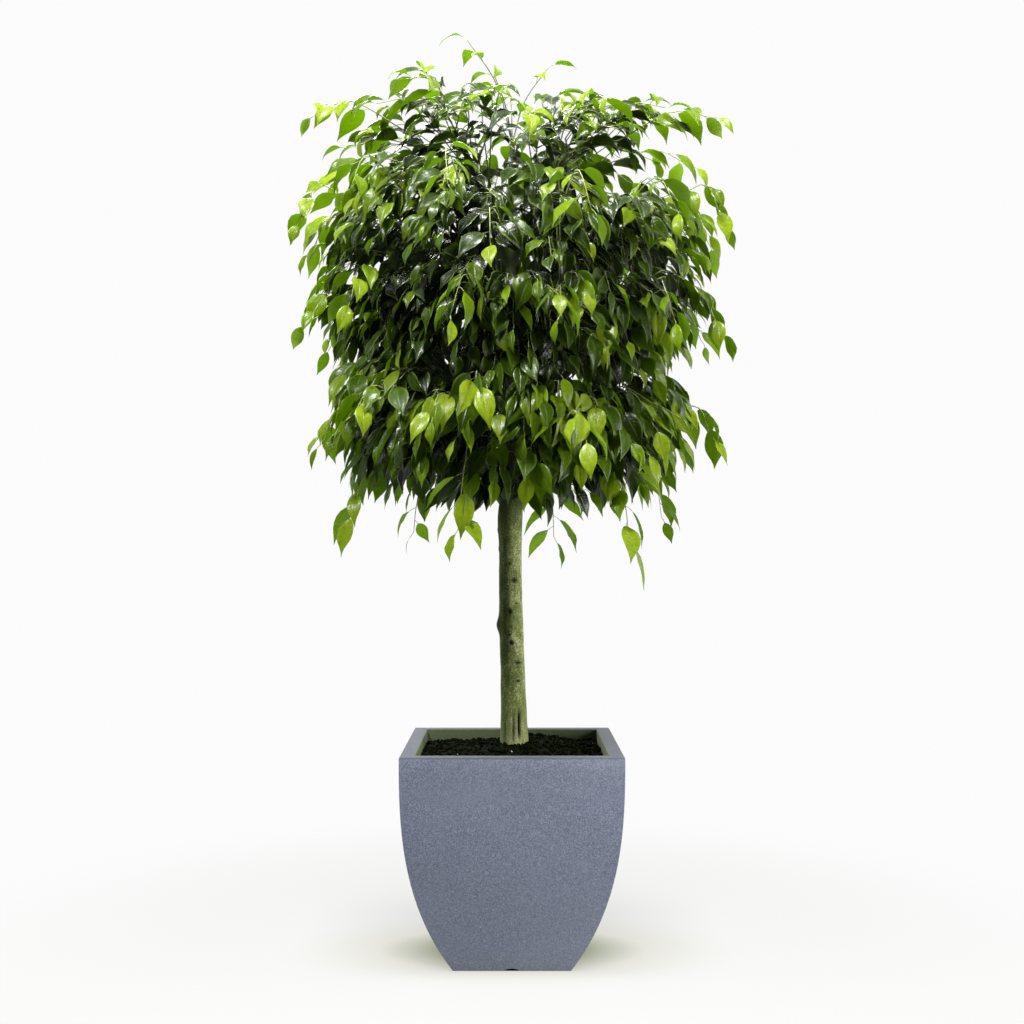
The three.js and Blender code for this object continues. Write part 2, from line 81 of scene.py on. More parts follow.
class Number:
    """A number that may vary over a surface. Python's operators on it add Math nodes."""

    def __init__(self, paint, output):
        self.paint = paint
        self.output = output

    def maths(self, operation, *values):
        return self.paint.node("Math", {"operation": operation}, dict(enumerate(values)))

    def __add__(self, other):
        return self.maths("ADD", self, other)

    def __sub__(self, other):
        return self.maths("SUBTRACT", self, other)

    def __rsub__(self, other):
        return self.maths("SUBTRACT", other, self)

    def __mul__(self, other):
        return self.maths("MULTIPLY", self, other)

    def __gt__(self, other):
        return self.maths("GREATER_THAN", self, other)

    def __abs__(self):
        return self.maths("ABSOLUTE", self)

    def most(self, other):
        return self.maths("MAXIMUM", self, other)

    def sine(self):
        return self.maths("SINE", self)

    __radd__ = __add__
    __rmul__ = __mul__


class Paint:
    """The nodes round one shader, of a new material if no other home is given."""

    def __init__(self, name, home=None, shader="Principled BSDF", **uniform):
        self.material = home or bpy.data.materials.new(name)
        self.material.use_nodes = True
        self.tree = self.material.node_tree
        self.shader = self.tree.nodes[shader]
        self.set(**uniform)

    def set(self, **sockets):
        """Sets or links the shader's sockets, named with _ for a space."""
        for name, value in sockets.items():
            self.feed(self.shader.inputs[name.replace("_", " ")], value)

    def feed(self, socket, value):
        if isinstance(value, Number):
            self.tree.links.new(value.output, socket)
        elif isinstance(value, tuple) and socket.type == "RGBA":
            socket.default_value = (*value, 1)
        else:
            socket.default_value = value

    def node(self, kind, settings=None, inputs=None, output=0):
        """One output of a new node. A ramp's stops are given as (place, colour)."""
        made = self.tree.nodes.new("ShaderNode" + kind)
        for name, value in (settings or {}).items():
            if name == "stops":
                self.stops(made.color_ramp.elements, value)
            else:
                setattr(made, name, value)
        for name, value in (inputs or {}).items():
            self.feed(made.inputs[name], value)
        return Number(self, made.outputs[output])

    def stops(self, elements, stops):
        elements[0].position, elements[0].color = stops[0][0], (*stops[0][1], 1)
        elements[1].position, elements[1].color = stops[-1][0], (*stops[-1][1], 1)
        for place, colour in stops[1:-1]:
            elements.new(place).color = (*colour, 1)

    def parts(self, vector):
        """A vector's x, y and z."""
        split = self.node("SeparateXYZ", {}, {"Vector": vector}).output.node
        return [Number(self, output) for output in split.outputs]

    def blend(self, factor, first, second):
        """The first colour at factor 0 and the second at 1."""
        return self.node("Mix", {"data_type": "RGBA"}, {0: factor, 6: first, 7: second}, 2)

    def ramp(self, number, *stops):
        return self.node("ValToRGB", {"stops": stops}, {"Fac": number})

    def step(self, number, low, high):
        """0 below low and 1 above high, and smooth between them."""
        settings = {"interpolation_type": "SMOOTHSTEP"}
        return self.node("MapRange", settings, {"Value": number, "From Min": low, "From Max": high})

    def grain(self, place, size, detail=3, roughness=0.55):
        """Noise from 0 to 1 with lumps of about that size in metres."""
        inputs = {"Vector": place, "Scale": 0.5 / size, "Detail": detail, "Roughness": roughness}
        return self.node("TexNoise", {}, inputs)

    def relief(self, height, depth, **inputs):
        """A bumped normal for a height from 0 to 1 over that depth in metres."""
        return self.node("Bump", {}, {"Height": height, "Distance": depth, **inputs})


scene.world = bpy.data.worlds.new("surround")
surround = Paint("surround", scene.world, "Background", Color=(1, 1, 1))
_, ahead, _ = surround.parts(surround.node("TexCoord", output="Generated"))
near_light, far_light = SURROUND_LIGHT
unseen = surround.step(ahead, *SURROUND_TURN) * (far_light - near_light) + near_light
seen = surround.node("LightPath", output="Is Camera Ray")
surround.set(Strength=seen * (SURROUND_SEEN - unseen) + unseen)

bpy.ops.mesh.primitive_plane_add(size=FLOOR_SIZE)
floor = bpy.context.object
floor.name = "floor"
pale = Paint("pale floor", Base_Color=FLOOR_COLOUR, Roughness=1, Specular_IOR_Level=0, Emission_Strength=1)
place = pale.node("TexCoord", output="Object")
away = pale.node("VectorMath", {"operation": "LENGTH"}, {0: place}, 1)
# A painted shadow in the glow's colour, measured from a middle a little behind the foot.
painted_shade_place = pale.node("VectorMath", {"operation": "SUBTRACT"}, {0: place, 1: PAINTED_SHADE_MIDDLE})
painted_shade_place = pale.node("VectorMath", {"operation": "MULTIPLY"}, {0: painted_shade_place, 1: PAINTED_SHADE_SCALE})
from_painted_shade = pale.node("VectorMath", {"operation": "LENGTH"}, {0: painted_shade_place}, 1)
x, y, _ = pale.parts(place)
# Black under the foot, as painted shade.
outside_painted_foot_shade = pale.step(abs(x).most(abs(y)), *PAINTED_FOOT_SHADE_EDGE)
pale.set(
    Emission_Color=pale.blend(outside_painted_foot_shade, (0, 0, 0), pale.ramp(from_painted_shade, *FLOOR_GLOW_AND_PAINTED_SHADE)),
    Alpha=1 - pale.step(away, *FLOOR_FADE),
)
floor.data.materials.append(pale.material)
on_floor = bpy.data.collections.new("only the floor")
off_floor = bpy.data.collections.new("all but the floor")
for linked in (on_floor, off_floor):
    linked.objects.link(floor)
off_floor.collection_objects[0].light_linking.link_state = "EXCLUDE"
over_floor = bpy.data.collections.new("what shades the floor")


def light(name, place, aim, size, watts, lit=off_floor):
    """A square soft box that points at aim and lights only the linked pieces."""
    bpy.ops.object.light_add(type="AREA", location=place)
    lamp = bpy.context.object
    lamp.name = name
    lamp.rotation_euler = (Vector(aim) - Vector(place)).to_track_quat("-Z", "Y").to_euler()
    lamp.data.size = size
    lamp.data.energy = watts
    lamp.light_linking.receiver_collection = lit
    return lamp


light("overhead box", place=(0.1, -0.9, 4.4), aim=(0, 0, 1.0), size=0.9, watts=260)
light("left box", place=(-1.7, -2.0, 4.0), aim=(0, 0, 1.3), size=0.7, watts=190)
light("right box", place=(3.5, -1.35, 1.3), aim=(0, 0, 1.1), size=1.8, watts=145)
light("back box", place=(-0.8, 2.6, 3.2), aim=(0, 0, 1.6), size=1.4, watts=130)
floor_box = light("floor box", place=(0, -2.6, 4.4), aim=(0, -2.6, 0), size=4, watts=2650, lit=on_floor)
floor_box.light_linking.blocker_collection = over_floor

bpy.ops.object.camera_add(location=(0, -CAMERA_DISTANCE, CAMERA_HEIGHT), rotation=(math.pi / 2, 0, 0))
camera = bpy.context.object
camera.data.lens = LENS
camera.data.shift_y = FRAME_SHIFT
scene.camera = camera


# Planter
#
# One casting of a light concrete mix with a fine sandy face. Its four sides bow in to a square foot, its rim
# is flat, its edges are just rounded, and low arches and four holes in its floor let water out.

WALL = 0.031
FLOOR_THICKNESS = 0.030
SIDE_TAPER = 0.103
SIDE_POWER = 2.7
EDGE_ROUND = 0.0028
EDGE_FACETS = 3
SIDE_SLICES = 26
DRAIN_RADIUS = 0.009
DRAIN_SIDES = 32
DRAIN_OFFSET = 0.066
CHANNEL_WIDTH = 0.031
CHANNEL_HEIGHT = 0.006
CHANNEL_SIDES = 48
CUT_PAST = 0.01  # how far a channel's cut runs out of the foot
SMOOTH_UNDER = 28

planter_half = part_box("planter")[1].x
planter_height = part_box("planter")[1].z
SOIL_EDGE = planter_height - 0.026
# The inner face is painted dark green, as shade and the foliage's reflection, inward of the rim and above the
# height where the outer face is as narrow.
INNER_EDGE = (planter_half - WALL + 0.001, planter_half - WALL + 0.004)
INNER_FOOT = (SOIL_EDGE - 0.05, SOIL_EDGE - 0.03)
# Heights over which the rim's top is painted darker, as the head's shadow on it.
PAINTED_RIM_SHADE_HEIGHTS = (planter_height - 0.004, planter_height - 0.001)
# Below this height the sides are painted paler toward the foot, as light on their downturned bow.
PAINTED_LIGHT_BELOW = 0.36


def pick(piece, kind, wanted):
    """Selects only the wanted faces or edges of a piece in edit mode."""
    bpy.ops.mesh.select_mode(type=kind)
    bpy.ops.mesh.select_all(action="DESELECT")
    mesh = bmesh.from_edit_mesh(piece.data)
    for part in mesh.faces if kind == "FACE" else mesh.edges:
        if wanted(part):
            part.select_set(True)
    mesh.select_flush_mode()
    bmesh.update_edit_mesh(piece.data)


def combine(piece, other, operation, solver):
    """Cuts the other piece out of this one, or joins it on, and uses it up."""
    change = piece.modifiers.new("combine", "BOOLEAN")
    change.operation = operation
    change.solver = solver
    change.object = other
    bpy.context.view_layer.objects.active = piece
    bpy.ops.object.modifier_apply(modifier=change.name)
    bpy.data.objects.remove(other)


def choose(piece):
    """Makes a piece the active one and the only one selected."""
    bpy.ops.object.select_all(action="DESELECT")
    piece.select_set(True)
    bpy.context.view_layer.objects.active = piece


def place_in_mesh(piece):
    """Moves a piece's place, turn and scale into its mesh."""
    choose(piece)
    bpy.ops.object.transform_apply(location=True, rotation=True, scale=True)


def smoothed(piece, degrees):
    """Shades a piece smooth, but for edges of more than those degrees."""
    choose(piece)
    bpy.ops.object.shade_smooth_by_angle(angle=math.radians(degrees))


def side_at(height):
    """Half the planter's width at a height."""
    below = (planter_height - height) / planter_height
    return planter_half - SIDE_TAPER * below**SIDE_POWER


def is_outer(vertex):
    return max(abs(vertex.co.x), abs(vertex.co.y)) > planter_half - WALL / 2


def is_rim(vertex):
    return vertex.co.z > planter_height - WALL / 2


bpy.ops.mesh.primitive_cube_add(size=1, location=(0, 0, planter_height / 2))
planter = bpy.context.object
planter.name = "planter_body"
planter.scale = (2 * planter_half, 2 * planter_half, planter_height)
place_in_mesh(planter)
bpy.ops.object.mode_set(mode="EDIT")
pick(planter, "FACE", lambda face: face.normal.z > 0.9)
bpy.ops.mesh.inset(thickness=WALL)
bpy.ops.mesh.extrude_region_move(TRANSFORM_OT_translate={"value": (0, 0, FLOOR_THICKNESS - planter_height)})
pick(planter, "EDGE", lambda edge: all(is_outer(vertex) or is_rim(vertex) for vertex in edge.verts))
bpy.ops.mesh.bevel(offset=EDGE_ROUND, offset_type="OFFSET", segments=EDGE_FACETS, affect="EDGES")
for k in range(1, SIDE_SLICES):
    bpy.ops.mesh.select_all(action="SELECT")
    slice_height = planter_height * (1 - math.sin(k / SIDE_SLICES * math.pi / 2))
    bpy.ops.mesh.bisect(plane_co=(0, 0, slice_height), plane_no=(0, 0, 1))
bpy.ops.mesh.select_all(action="SELECT")
bpy.ops.mesh.normals_make_consistent(inside=False)
bpy.ops.object.mode_set(mode="OBJECT")
for vertex in planter.data.vertices:
    wall = 0 if is_outer(vertex) else WALL
    narrowed = (side_at(vertex.co.z) - wall) / (planter_half - wall)
    vertex.co.x *= narrowed
    vertex.co.y *= narrowed

channel_length = side_at(0) + CUT_PAST - DRAIN_OFFSET
for side in range(4):
    turn = side * math.pi / 2
    outward = Vector((math.cos(turn), math.sin(turn), 0))
    drain_place = DRAIN_OFFSET * outward
    bpy.ops.mesh.primitive_cylinder_add(
        vertices=DRAIN_SIDES, radius=DRAIN_RADIUS, depth=3 * FLOOR_THICKNESS, location=drain_place
    )
    combine(planter, bpy.context.object, "DIFFERENCE", "EXACT")
    channel_place = (DRAIN_OFFSET + channel_length / 2) * outward
    bpy.ops.mesh.primitive_cylinder_add(
        vertices=CHANNEL_SIDES, radius=1, depth=channel_length, location=channel_place
    )
    channel = bpy.context.object
    channel.rotation_euler = (0, math.pi / 2, turn)
    channel.scale = (CHANNEL_HEIGHT, CHANNEL_WIDTH / 2, 1)
    combine(planter, channel, "DIFFERENCE", "EXACT")
smoothed(planter, SMOOTH_UNDER)

stone = Paint("sandy cast mix", Roughness=0.86)
place = stone.node("TexCoord", output="Object")
x, y, height = stone.parts(place)
sand = stone.grain(place, size=0.0014, detail=1, roughness=0.6)
pores = stone.grain(place, size=0.0042, detail=2)
clouds = stone.grain(place, size=0.10)
body = stone.ramp(
    sand * 0.75 + pores * 0.25,
    (0.34, (0.114, 0.130, 0.187)), (0.5, (0.169, 0.191, 0.261)), (0.66, (0.247, 0.272, 0.347)),
)
dusty = stone.blend(stone.step(clouds, 0.45, 0.75) * 0.3, body, (0.23, 0.25, 0.305))
# Painted light: the sides paler toward the foot, where their bow turns them down from the lamps above.
painted_low_light = stone.blend(stone.step(height, PAINTED_LIGHT_BELOW, 0.0) * 0.15, dusty, (0.225, 0.255, 0.335))
# Painted shade: the rim's top darkened, standing in for the head's shadow on it.
painted_rim_shade = stone.blend(stone.step(height, *PAINTED_RIM_SHADE_HEIGHTS) * 0.85, painted_low_light, (0.060, 0.066, 0.077))
grit = stone.step(stone.grain(place, size=0.0022, detail=0), 0.8, 0.82)
flecked = stone.blend(grit * 0.5, painted_rim_shade, (0.42, 0.41, 0.30))
# Painted shade and reflection: the inner face darker and greener.
painted_inner_shade = (1 - stone.step(abs(x).most(abs(y)), *INNER_EDGE)) * stone.step(height, *INNER_FOOT)
stone.set(
    Base_Color=stone.blend(painted_inner_shade * 0.85, flecked, (0.086, 0.114, 0.025)),
    Normal=stone.relief(sand + pores * 0.6, 0.0007, Strength=0.6),
)
planter.data.materials.append(stone.material)
over_floor.objects.link(planter)
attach(planter, "root")
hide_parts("planter")


# Soil
#
# Dark potting soil of crumbs and peat fibre with a few white grains of perlite. It fills the planter down to
# its floor, and is heaped a little round the trunk and behind it at the right.

GAP = 0.00035
SOIL_MOUND = 0.024
MOUND_REACH = 0.120
SOIL_STEPS = 170
SOIL_RINGS = (0.395, 0.34, 0.27, 0.19, 0.11, FLOOR_THICKNESS + GAP)
HEAP_PLACE = (0.075, 0.075)
HEAP_REACH = 0.080
HEAP_RISE = 0.015
LUMPS = ((0.032, 0.007), (0.014, 0.006), (0.007, 0.003))  # sizes and heights
LUMP_LAYERS = 90  # how far apart the sizes are in the noise
LUMP_LEVEL = 0.8  # the share of a lump under the soil's own level
CRUMBS = 1100
CRUMB_SIZES = (0.0016, 0.0054)
CRUMB_LIFT = 0.4
CRUMB_UNEVENNESS = 0.16
CRUMB_STRETCH = (0.7, 1.1)
PERLITE_GRAINS = 16
PERLITE_SIZES = (0.0011, 0.0022)
PERLITE_LIFT = 0.8
SEED = 2026

rng = np.random.default_rng(SEED)


def soil_height(x, y):
    """The two heaps, with rounded lumps of three sizes on them."""
    height = SOIL_EDGE + SOIL_MOUND * math.exp(-(x * x + y * y) / MOUND_REACH**2)
    height += HEAP_RISE * math.exp(-((x - HEAP_PLACE[0]) ** 2 + (y - HEAP_PLACE[1]) ** 2) / HEAP_REACH**2)
    for size, rise in LUMPS:
        nearest = noise.voronoi(Vector((x / size, y / size, size * LUMP_LAYERS)))[0][0]
        height += rise * (math.sqrt(max(0, 1 - nearest**2)) - LUMP_LEVEL)
    return height


def coordinates(mesh):
    """A mesh's vertices as rows of an array."""
    points = np.empty(len(mesh.vertices) * 3, np.float32)
    mesh.vertices.foreach_get("co", points)
    return points.reshape(-1, 3)


def copies(name, blank, points, numbers=None):
    """A piece of many copies of a blank, with every copy's own vertices in points. Numbers are one value for
    each copy, kept under their names."""
    count, size = points.shape[:2]
    order = np.arange(count, dtype=np.int32)[:, None]
    corners = np.empty(len(blank.loops), np.int32)
    blank.loops.foreach_get("vertex_index", corners)
    starts = np.empty(len(blank.polygons), np.int32)
    blank.polygons.foreach_get("loop_start", starts)
    mesh = bpy.data.meshes.new(name)
    mesh.vertices.add(count * size)
    mesh.vertices.foreach_set("co", points.astype(np.float32).ravel())
    mesh.loops.add(count * len(corners))
    mesh.loops.foreach_set("vertex_index", (corners + size * order).ravel())
    mesh.polygons.add(count * len(starts))
    mesh.polygons.foreach_set("loop_start", (starts + len(corners) * order).ravel())
    for layer in blank.uv_layers:
        places = np.empty(2 * len(corners), np.float32)
        layer.uv.foreach_get("vector", places)
        mesh.uv_layers.new(name=layer.name).uv.foreach_set("vector", np.tile(places, count))
    for key, values in (numbers or {}).items():
        kept = mesh.attributes.new(key, "FLOAT", "POINT")
        kept.data.foreach_set("value", np.repeat(values, size).astype(np.float32))
    mesh.update(calc_edges=True)
    piece = bpy.data.objects.new(name, mesh)
    scene.collection.objects.link(piece)
    return piece


top_half = side_at(SOIL_EDGE) - WALL - GAP
bpy.ops.mesh.primitive_grid_add(x_subdivisions=SOIL_STEPS, y_subdivisions=SOIL_STEPS, size=2 * top_half)
soil = bpy.context.object
soil.name = "soil_bed"
for vertex in soil.data.vertices:
    vertex.co.z = soil_height(vertex.co.x, vertex.co.y)
bpy.ops.object.mode_set(mode="EDIT")
pick(soil, "EDGE", lambda edge: edge.is_boundary)
wide = top_half
for level in SOIL_RINGS:
    bpy.ops.mesh.extrude_edges_move()
    narrowed = (side_at(level) - WALL - GAP) / wide
    bpy.ops.transform.resize(value=(narrowed, narrowed, 0), center_override=(0, 0, level))
    wide *= narrowed
bpy.ops.mesh.edge_face_add()
bpy.ops.mesh.select_all(action="SELECT")
bpy.ops.mesh.normals_make_consistent(inside=False)
bpy.ops.object.mode_set(mode="OBJECT")
smoothed(soil, 60)

bpy.ops.mesh.primitive_ico_sphere_add(subdivisions=2, radius=1)
crumb = bpy.context.object
crumb_points = coordinates(crumb.data)


def scattered(name, count, sizes, lift):
    """Uneven crumbs thrown on the soil, each lifted by that share of its size."""
    reach_out = top_half - sizes[1]
    made = []
    for size in rng.uniform(*sizes, count):
        x, y = rng.uniform(-reach_out, reach_out, 2)
        uneven = rng.normal(1, CRUMB_UNEVENNESS, (len(crumb_points), 1)) * rng.uniform(*CRUMB_STRETCH, 3)
        made.append(crumb_points * size * uneven + (x, y, soil_height(x, y) + lift * size))
    return copies(name, crumb.data, np.array(made))


crumbs = scattered("soil_crumbs", CRUMBS, CRUMB_SIZES, CRUMB_LIFT)
perlite = scattered("soil_perlite", PERLITE_GRAINS, PERLITE_SIZES, PERLITE_LIFT)
bpy.data.objects.remove(crumb)
smoothed(crumbs, 50)

peat = Paint("potting soil", Roughness=1, Specular_IOR_Level=0.03)
place = peat.node("TexCoord", output="Object")
fine = peat.grain(place, size=0.0022, detail=4, roughness=0.7)
patch = peat.grain(place, size=0.018, detail=2)
dark = peat.ramp(
    fine, (0.35, (0.0005, 0.0008, 0.0002)), (0.55, (0.003, 0.005, 0.0005)), (0.75, (0.022, 0.032, 0.004))
)
peat.set(
    Base_Color=peat.blend(peat.step(patch, 0.5, 0.7) * 0.25, dark, (0.009, 0.015, 0.003)),
    Normal=peat.relief(fine, 0.0012, Strength=0.8),
)
white = Paint("perlite", Roughness=0.8)
place = white.node("TexCoord", output="Object")
pits = white.grain(place, size=0.0012)
white.set(Base_Color=white.ramp(pits, (0.3, (0.35, 0.34, 0.3)), (0.6, (0.8, 0.8, 0.76))))
for piece, finish in ((soil, peat), (crumbs, peat), (perlite, white)):
    piece.data.materials.append(finish.material)
    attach(piece, "root")
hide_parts("soil")


# Trunk and limbs
#
# One piece of wood. The bare stem is olive green with a finely speckled bark, dark eye-shaped scars where
# twigs were pruned off, one healed knob, and a fluted collar at the soil. Its limbs rise inside the head.

TRUNK_FOOT = SOIL_EDGE - 0.060
TRUNK_RADIUS = 0.0285
FORK_RADIUS = 0.0232
FORK_HEIGHT = 0.960
LEADER_TOP = 1.740
LEADER_RADIUS = 0.005
SWAY = 0.0035
FLARE = 0.006
FLARE_REACH = 0.045
FLUTES = 5
TRUNK_SIDES = 128
BARK_STEP = 0.002
LEADER_STEP = 0.012
BARK_RELIEF = 0.0007
BARK_LUMPS = (60, 60, 22)  # to a metre, along each axis
KNOB = 0.0065
KNOB_HEIGHT = 0.705
KNOB_SPREAD = (0.42, 0.017)  # in radians round the trunk, and in metres up it
KNOB_SCAR_SPREAD = (0.3, 0.011)
LIMB_SIDES = 10
LIMB_STEPS = 12
LIMB_BASE_RADIUS = 0.011
LIMB_END_RADIUS = 0.005
LIMB_BOW = 0.014
NECK = 0.0035  # how far the trunk swells under the fork
NECK_HEIGHT = 0.935
NECK_RISE = 0.045
# The scars in front: their distances from the trunk's middle line, heights, half widths and half rises.
SCARS = (
    (-0.002, 0.838, 0.0030, 0.0026), (0.008, 0.802, 0.0062, 0.0060), (0.012, 0.753, 0.0032, 0.0022),
    (-0.003, 0.736, 0.0046, 0.0064), (-0.005, 0.686, 0.0026, 0.0024), (-0.002, 0.669, 0.0054, 0.0060),
    (0.012, 0.626, 0.0076, 0.0032), (0.010, 0.587, 0.0048, 0.0030),
)
SCARS_BEHIND = 16
# The limits of their bearings, heights, half widths and half rises.
BEHIND = ((0, math.pi), (0.56, 0.93), (0.002, 0.005), (0.0018, 0.004))
SCAR_LIP = 0.0012
SCAR_LIP_PLACE = 1.35  # in scars' half sizes from the middle
SCAR_SINK = 0.0014
CREASE_LENGTH = 2.4  # of the dark line across a scar, in half widths
CREASE_RISE = 0.0011
# Clefts of the collar, by their bearing in degrees, height and depth.
CLEFTS = (
    (-65, 0.494, 0.0078), (-90, 0.486, 0.0044), (-130, 0.480, 0.0030), (30, 0.490, 0.0045),
    (118, 0.480, 0.0040),
)
CLEFT_RISE = 0.029
CLEFT_WIDTH = 0.0030
# A cleft is painted darker the deeper it is, as the shade in it.
CLEFT_PAINTED_SHADE = 200  # to a metre of depth
COLLAR_RADIUS = 0.031


def sway(height):
    """How far the trunk's middle is off the planter's, at one height or many."""
    rise = (height - TRUNK_FOOT) / (FORK_HEIGHT - TRUNK_FOOT)
    return SWAY * np.sin(5.2 * rise + 0.6), SWAY * np.sin(4.1 * rise)


def trunk_middle(height):
    return Vector((*sway(height), height))


def trunk_radius(height):
    if height > FORK_HEIGHT:
        low, high, first, last = FORK_HEIGHT, LEADER_TOP, FORK_RADIUS, LEADER_RADIUS
    else:
        low, high, first, last = TRUNK_FOOT, FORK_HEIGHT, TRUNK_RADIUS, FORK_RADIUS
    return first + (last - first) * (height - low) / (high - low)


def tubes(name, paths, sides):
    """Closed round tubes along paths of (x, y, z, radius), in one piece."""
    curve = bpy.data.curves.new(name, "CURVE")
    curve.dimensions = "3D"
    curve.bevel_depth = 1
    curve.bevel_resolution = sides // 2 - 2
    curve.use_fill_caps = True
    for path in paths:
        spline = curve.splines.new("POLY")
        spline.points.add(len(path) - 1)
        for point, (x, y, z, radius) in zip(spline.points, path):
            point.co = (x, y, z, 1)
            point.radius = radius
    piece = bpy.data.objects.new(name, curve)
    scene.collection.objects.link(piece)
    choose(piece)
    bpy.ops.object.convert(target="MESH")
    piece = bpy.context.object
    bpy.ops.object.mode_set(mode="EDIT")
    bpy.ops.mesh.select_all(action="SELECT")
    bpy.ops.mesh.remove_doubles(threshold=1e-6)
    bpy.ops.mesh.normals_make_consistent(inside=False)
    bpy.ops.object.mode_set(mode="OBJECT")
    return piece


def smooth(points, steps):
    """A centripetal Catmull-Rom curve through points, the first and last legs mirrored past its ends."""
    points = [Vector(point) for point in points]
    ends = [2 * points[0] - points[1], *points, 2 * points[-1] - points[-2]]
    made = []
    for k in range(steps + 1):
        along = (len(points) - 1) * k / steps
        leg = min(int(along), len(points) - 2)
        p0, p1, p2, p3 = ends[leg : leg + 4]
        d0, d1, d2 = (math.sqrt((b - a).length) for a, b in ((p0, p1), (p1, p2), (p2, p3)))
        start = ((p1 - p0) / d0 - (p2 - p0) / (d0 + d1) + (p2 - p1) / d1) * d1
        end = ((p2 - p1) / d1 - (p3 - p1) / (d1 + d2) + (p3 - p2) / d2) * d1
        t = along - leg
        square = 3 * (p2 - p1) - 2 * start - end
        cube = 2 * (p1 - p2) + start + end
        made.append(p1 + start * t + square * t**2 + cube * t**3)
    return made


def cyclic(angle):
    """An angle brought between -pi and pi."""
    return (angle + np.pi) % (2 * np.pi) - np.pi


# Every scar by bearing, height, half width and half rise.
scars = [(math.asin(x / trunk_radius(height)) - math.pi / 2, height, *size) for x, height, *size in SCARS]
scars += [[rng.uniform(*limits) for limits in BEHIND] for _ in range(SCARS_BEHIND)]


def bark_relief(x, y, z):
    """How far the bark stands out at points, and how dark a scar, or the shade painted into a cleft, makes it
    there.
    """
    middle_x, middle_y = sway(z)
    bearing = np.arctan2(y - middle_y, x - middle_x)
    flare = FLARE * np.exp(-np.maximum(0, z - SOIL_EDGE) / FLARE_REACH)
    out = flare * (1 + 0.5 * np.cos(bearing * FLUTES))
    dark = np.zeros_like(out)

    def knob(spread):
        round_trunk = cyclic(bearing - np.pi) / spread[0]
        return np.exp(-(round_trunk**2) - ((z - KNOB_HEIGHT) / spread[1]) ** 2)

    out += KNOB * knob(KNOB_SPREAD)
    dark += 0.75 * knob(KNOB_SCAR_SPREAD)
    out += NECK * np.exp(-(((z - NECK_HEIGHT) / NECK_RISE) ** 2)) * (1 - 0.5 * np.cos(bearing))
    for place, height, width, scar_rise in scars:
        across = cyclic(bearing - place) * trunk_radius(height) / width
        away = np.hypot(across, (z - height) / scar_rise)
        crease = np.exp(-((across / CREASE_LENGTH) ** 2) - ((z - height) / CREASE_RISE) ** 2)
        out += SCAR_LIP * np.exp(-((away - SCAR_LIP_PLACE) ** 2) / 0.2) - SCAR_SINK * np.exp(-(away**2))
        dark += 1.1 * np.exp(-(away**4)) + 0.45 * crease
    for degrees, height, depth in CLEFTS:
        across = cyclic(bearing - math.radians(degrees)) * COLLAR_RADIUS / CLEFT_WIDTH
        cleft = np.exp(-(across**2) - ((z - height) / CLEFT_RISE) ** 4)
        out -= depth * cleft
        dark += CLEFT_PAINTED_SHADE * depth * cleft
    return out, np.clip(dark, 0, 1)


trunk_heights = [
    *np.arange(TRUNK_FOOT, FORK_HEIGHT, BARK_STEP),
    *np.linspace(FORK_HEIGHT, LEADER_TOP, round((LEADER_TOP - FORK_HEIGHT) / LEADER_STEP)),
]
trunk = tubes("trunk_and_limbs", [[(*trunk_middle(z), trunk_radius(z)) for z in trunk_heights]], TRUNK_SIDES)
points = coordinates(trunk.data).astype(float)
outward = points[:, :2] - np.stack(sway(points[:, 2]), 1)
relief, _ = bark_relief(*points.T)
uneven = [noise.fractal(Vector(place), 0.8, 2.2, 4) for place in points * BARK_LUMPS]
relief = np.where(points[:, 2] < FORK_HEIGHT, relief + BARK_RELIEF * np.array(uneven), relief)
points[:, :2] += outward / np.maximum(np.linalg.norm(outward, axis=1, keepdims=True), 1e-6) * relief[:, None]
trunk.data.vertices.foreach_set("co", points.astype(np.float32).ravel())


# The head is cut like a tiered cake into one cell for each bough, from the first one's bearing in degrees on.
# A cell runs from near to far of the trunk's middle and from low to high, and its limb leaves the trunk at
# fork. The bough's sprays climb, then fall by these heights as they reach out to tips.
TIERS = (
    {"name": "skirt", "boughs": 6, "first": 0, "near": 0.118, "far": 0.368, "low": 1.008, "high": 1.208,
     "fork": 0.965, "climb": 0.015, "fall": 0.060, "tips": 0.455},
    {"name": "middle", "boughs": 6, "first": 30, "near": 0.118, "far": 0.374, "low": 1.218, "high": 1.422,
     "fork": 1.085, "climb": 0.030, "fall": 0.070, "tips": 0.462},
    {"name": "shoulder", "boughs": 6, "first": 0, "near": 0.108, "far": 0.386, "low": 1.432, "high": 1.636,
     "fork": 1.270, "climb": 0.035, "fall": 0.075, "tips": 0.470},
    {"name": "upper", "boughs": 4, "first": 45, "near": 0.058, "far": 0.326, "low": 1.646, "high": 1.768,
     "fork": 1.480, "climb": 0.025, "fall": 0.030, "tips": 0.462},
)
CELL_GAP = math.radians(1.6)
TIER_LIFT = 0.020
LIMB_SHORT = 0.1  # how far before the middle of its cell a limb ends, as a share of the cell

boughs = []
for tier in TIERS:
    for k in range(tier["boughs"]):
        bough = SimpleNamespace(**tier, number=k + 1, half_turn=math.pi / tier["boughs"] - CELL_GAP)
        bough.bearing = math.radians(tier["first"] + 360 * k / tier["boughs"])
        boughs.append(bough)


def polar(distance, bearing, height):
    return Vector((distance * math.cos(bearing), distance * math.sin(bearing), height))


def tier_lift(bearing):
    """How far the tiers are raised at a bearing, so that they don't lie level round the head."""
    return TIER_LIFT * (math.sin(2 * bearing + 0.7) + 0.5 * math.sin(3 * bearing + 2))


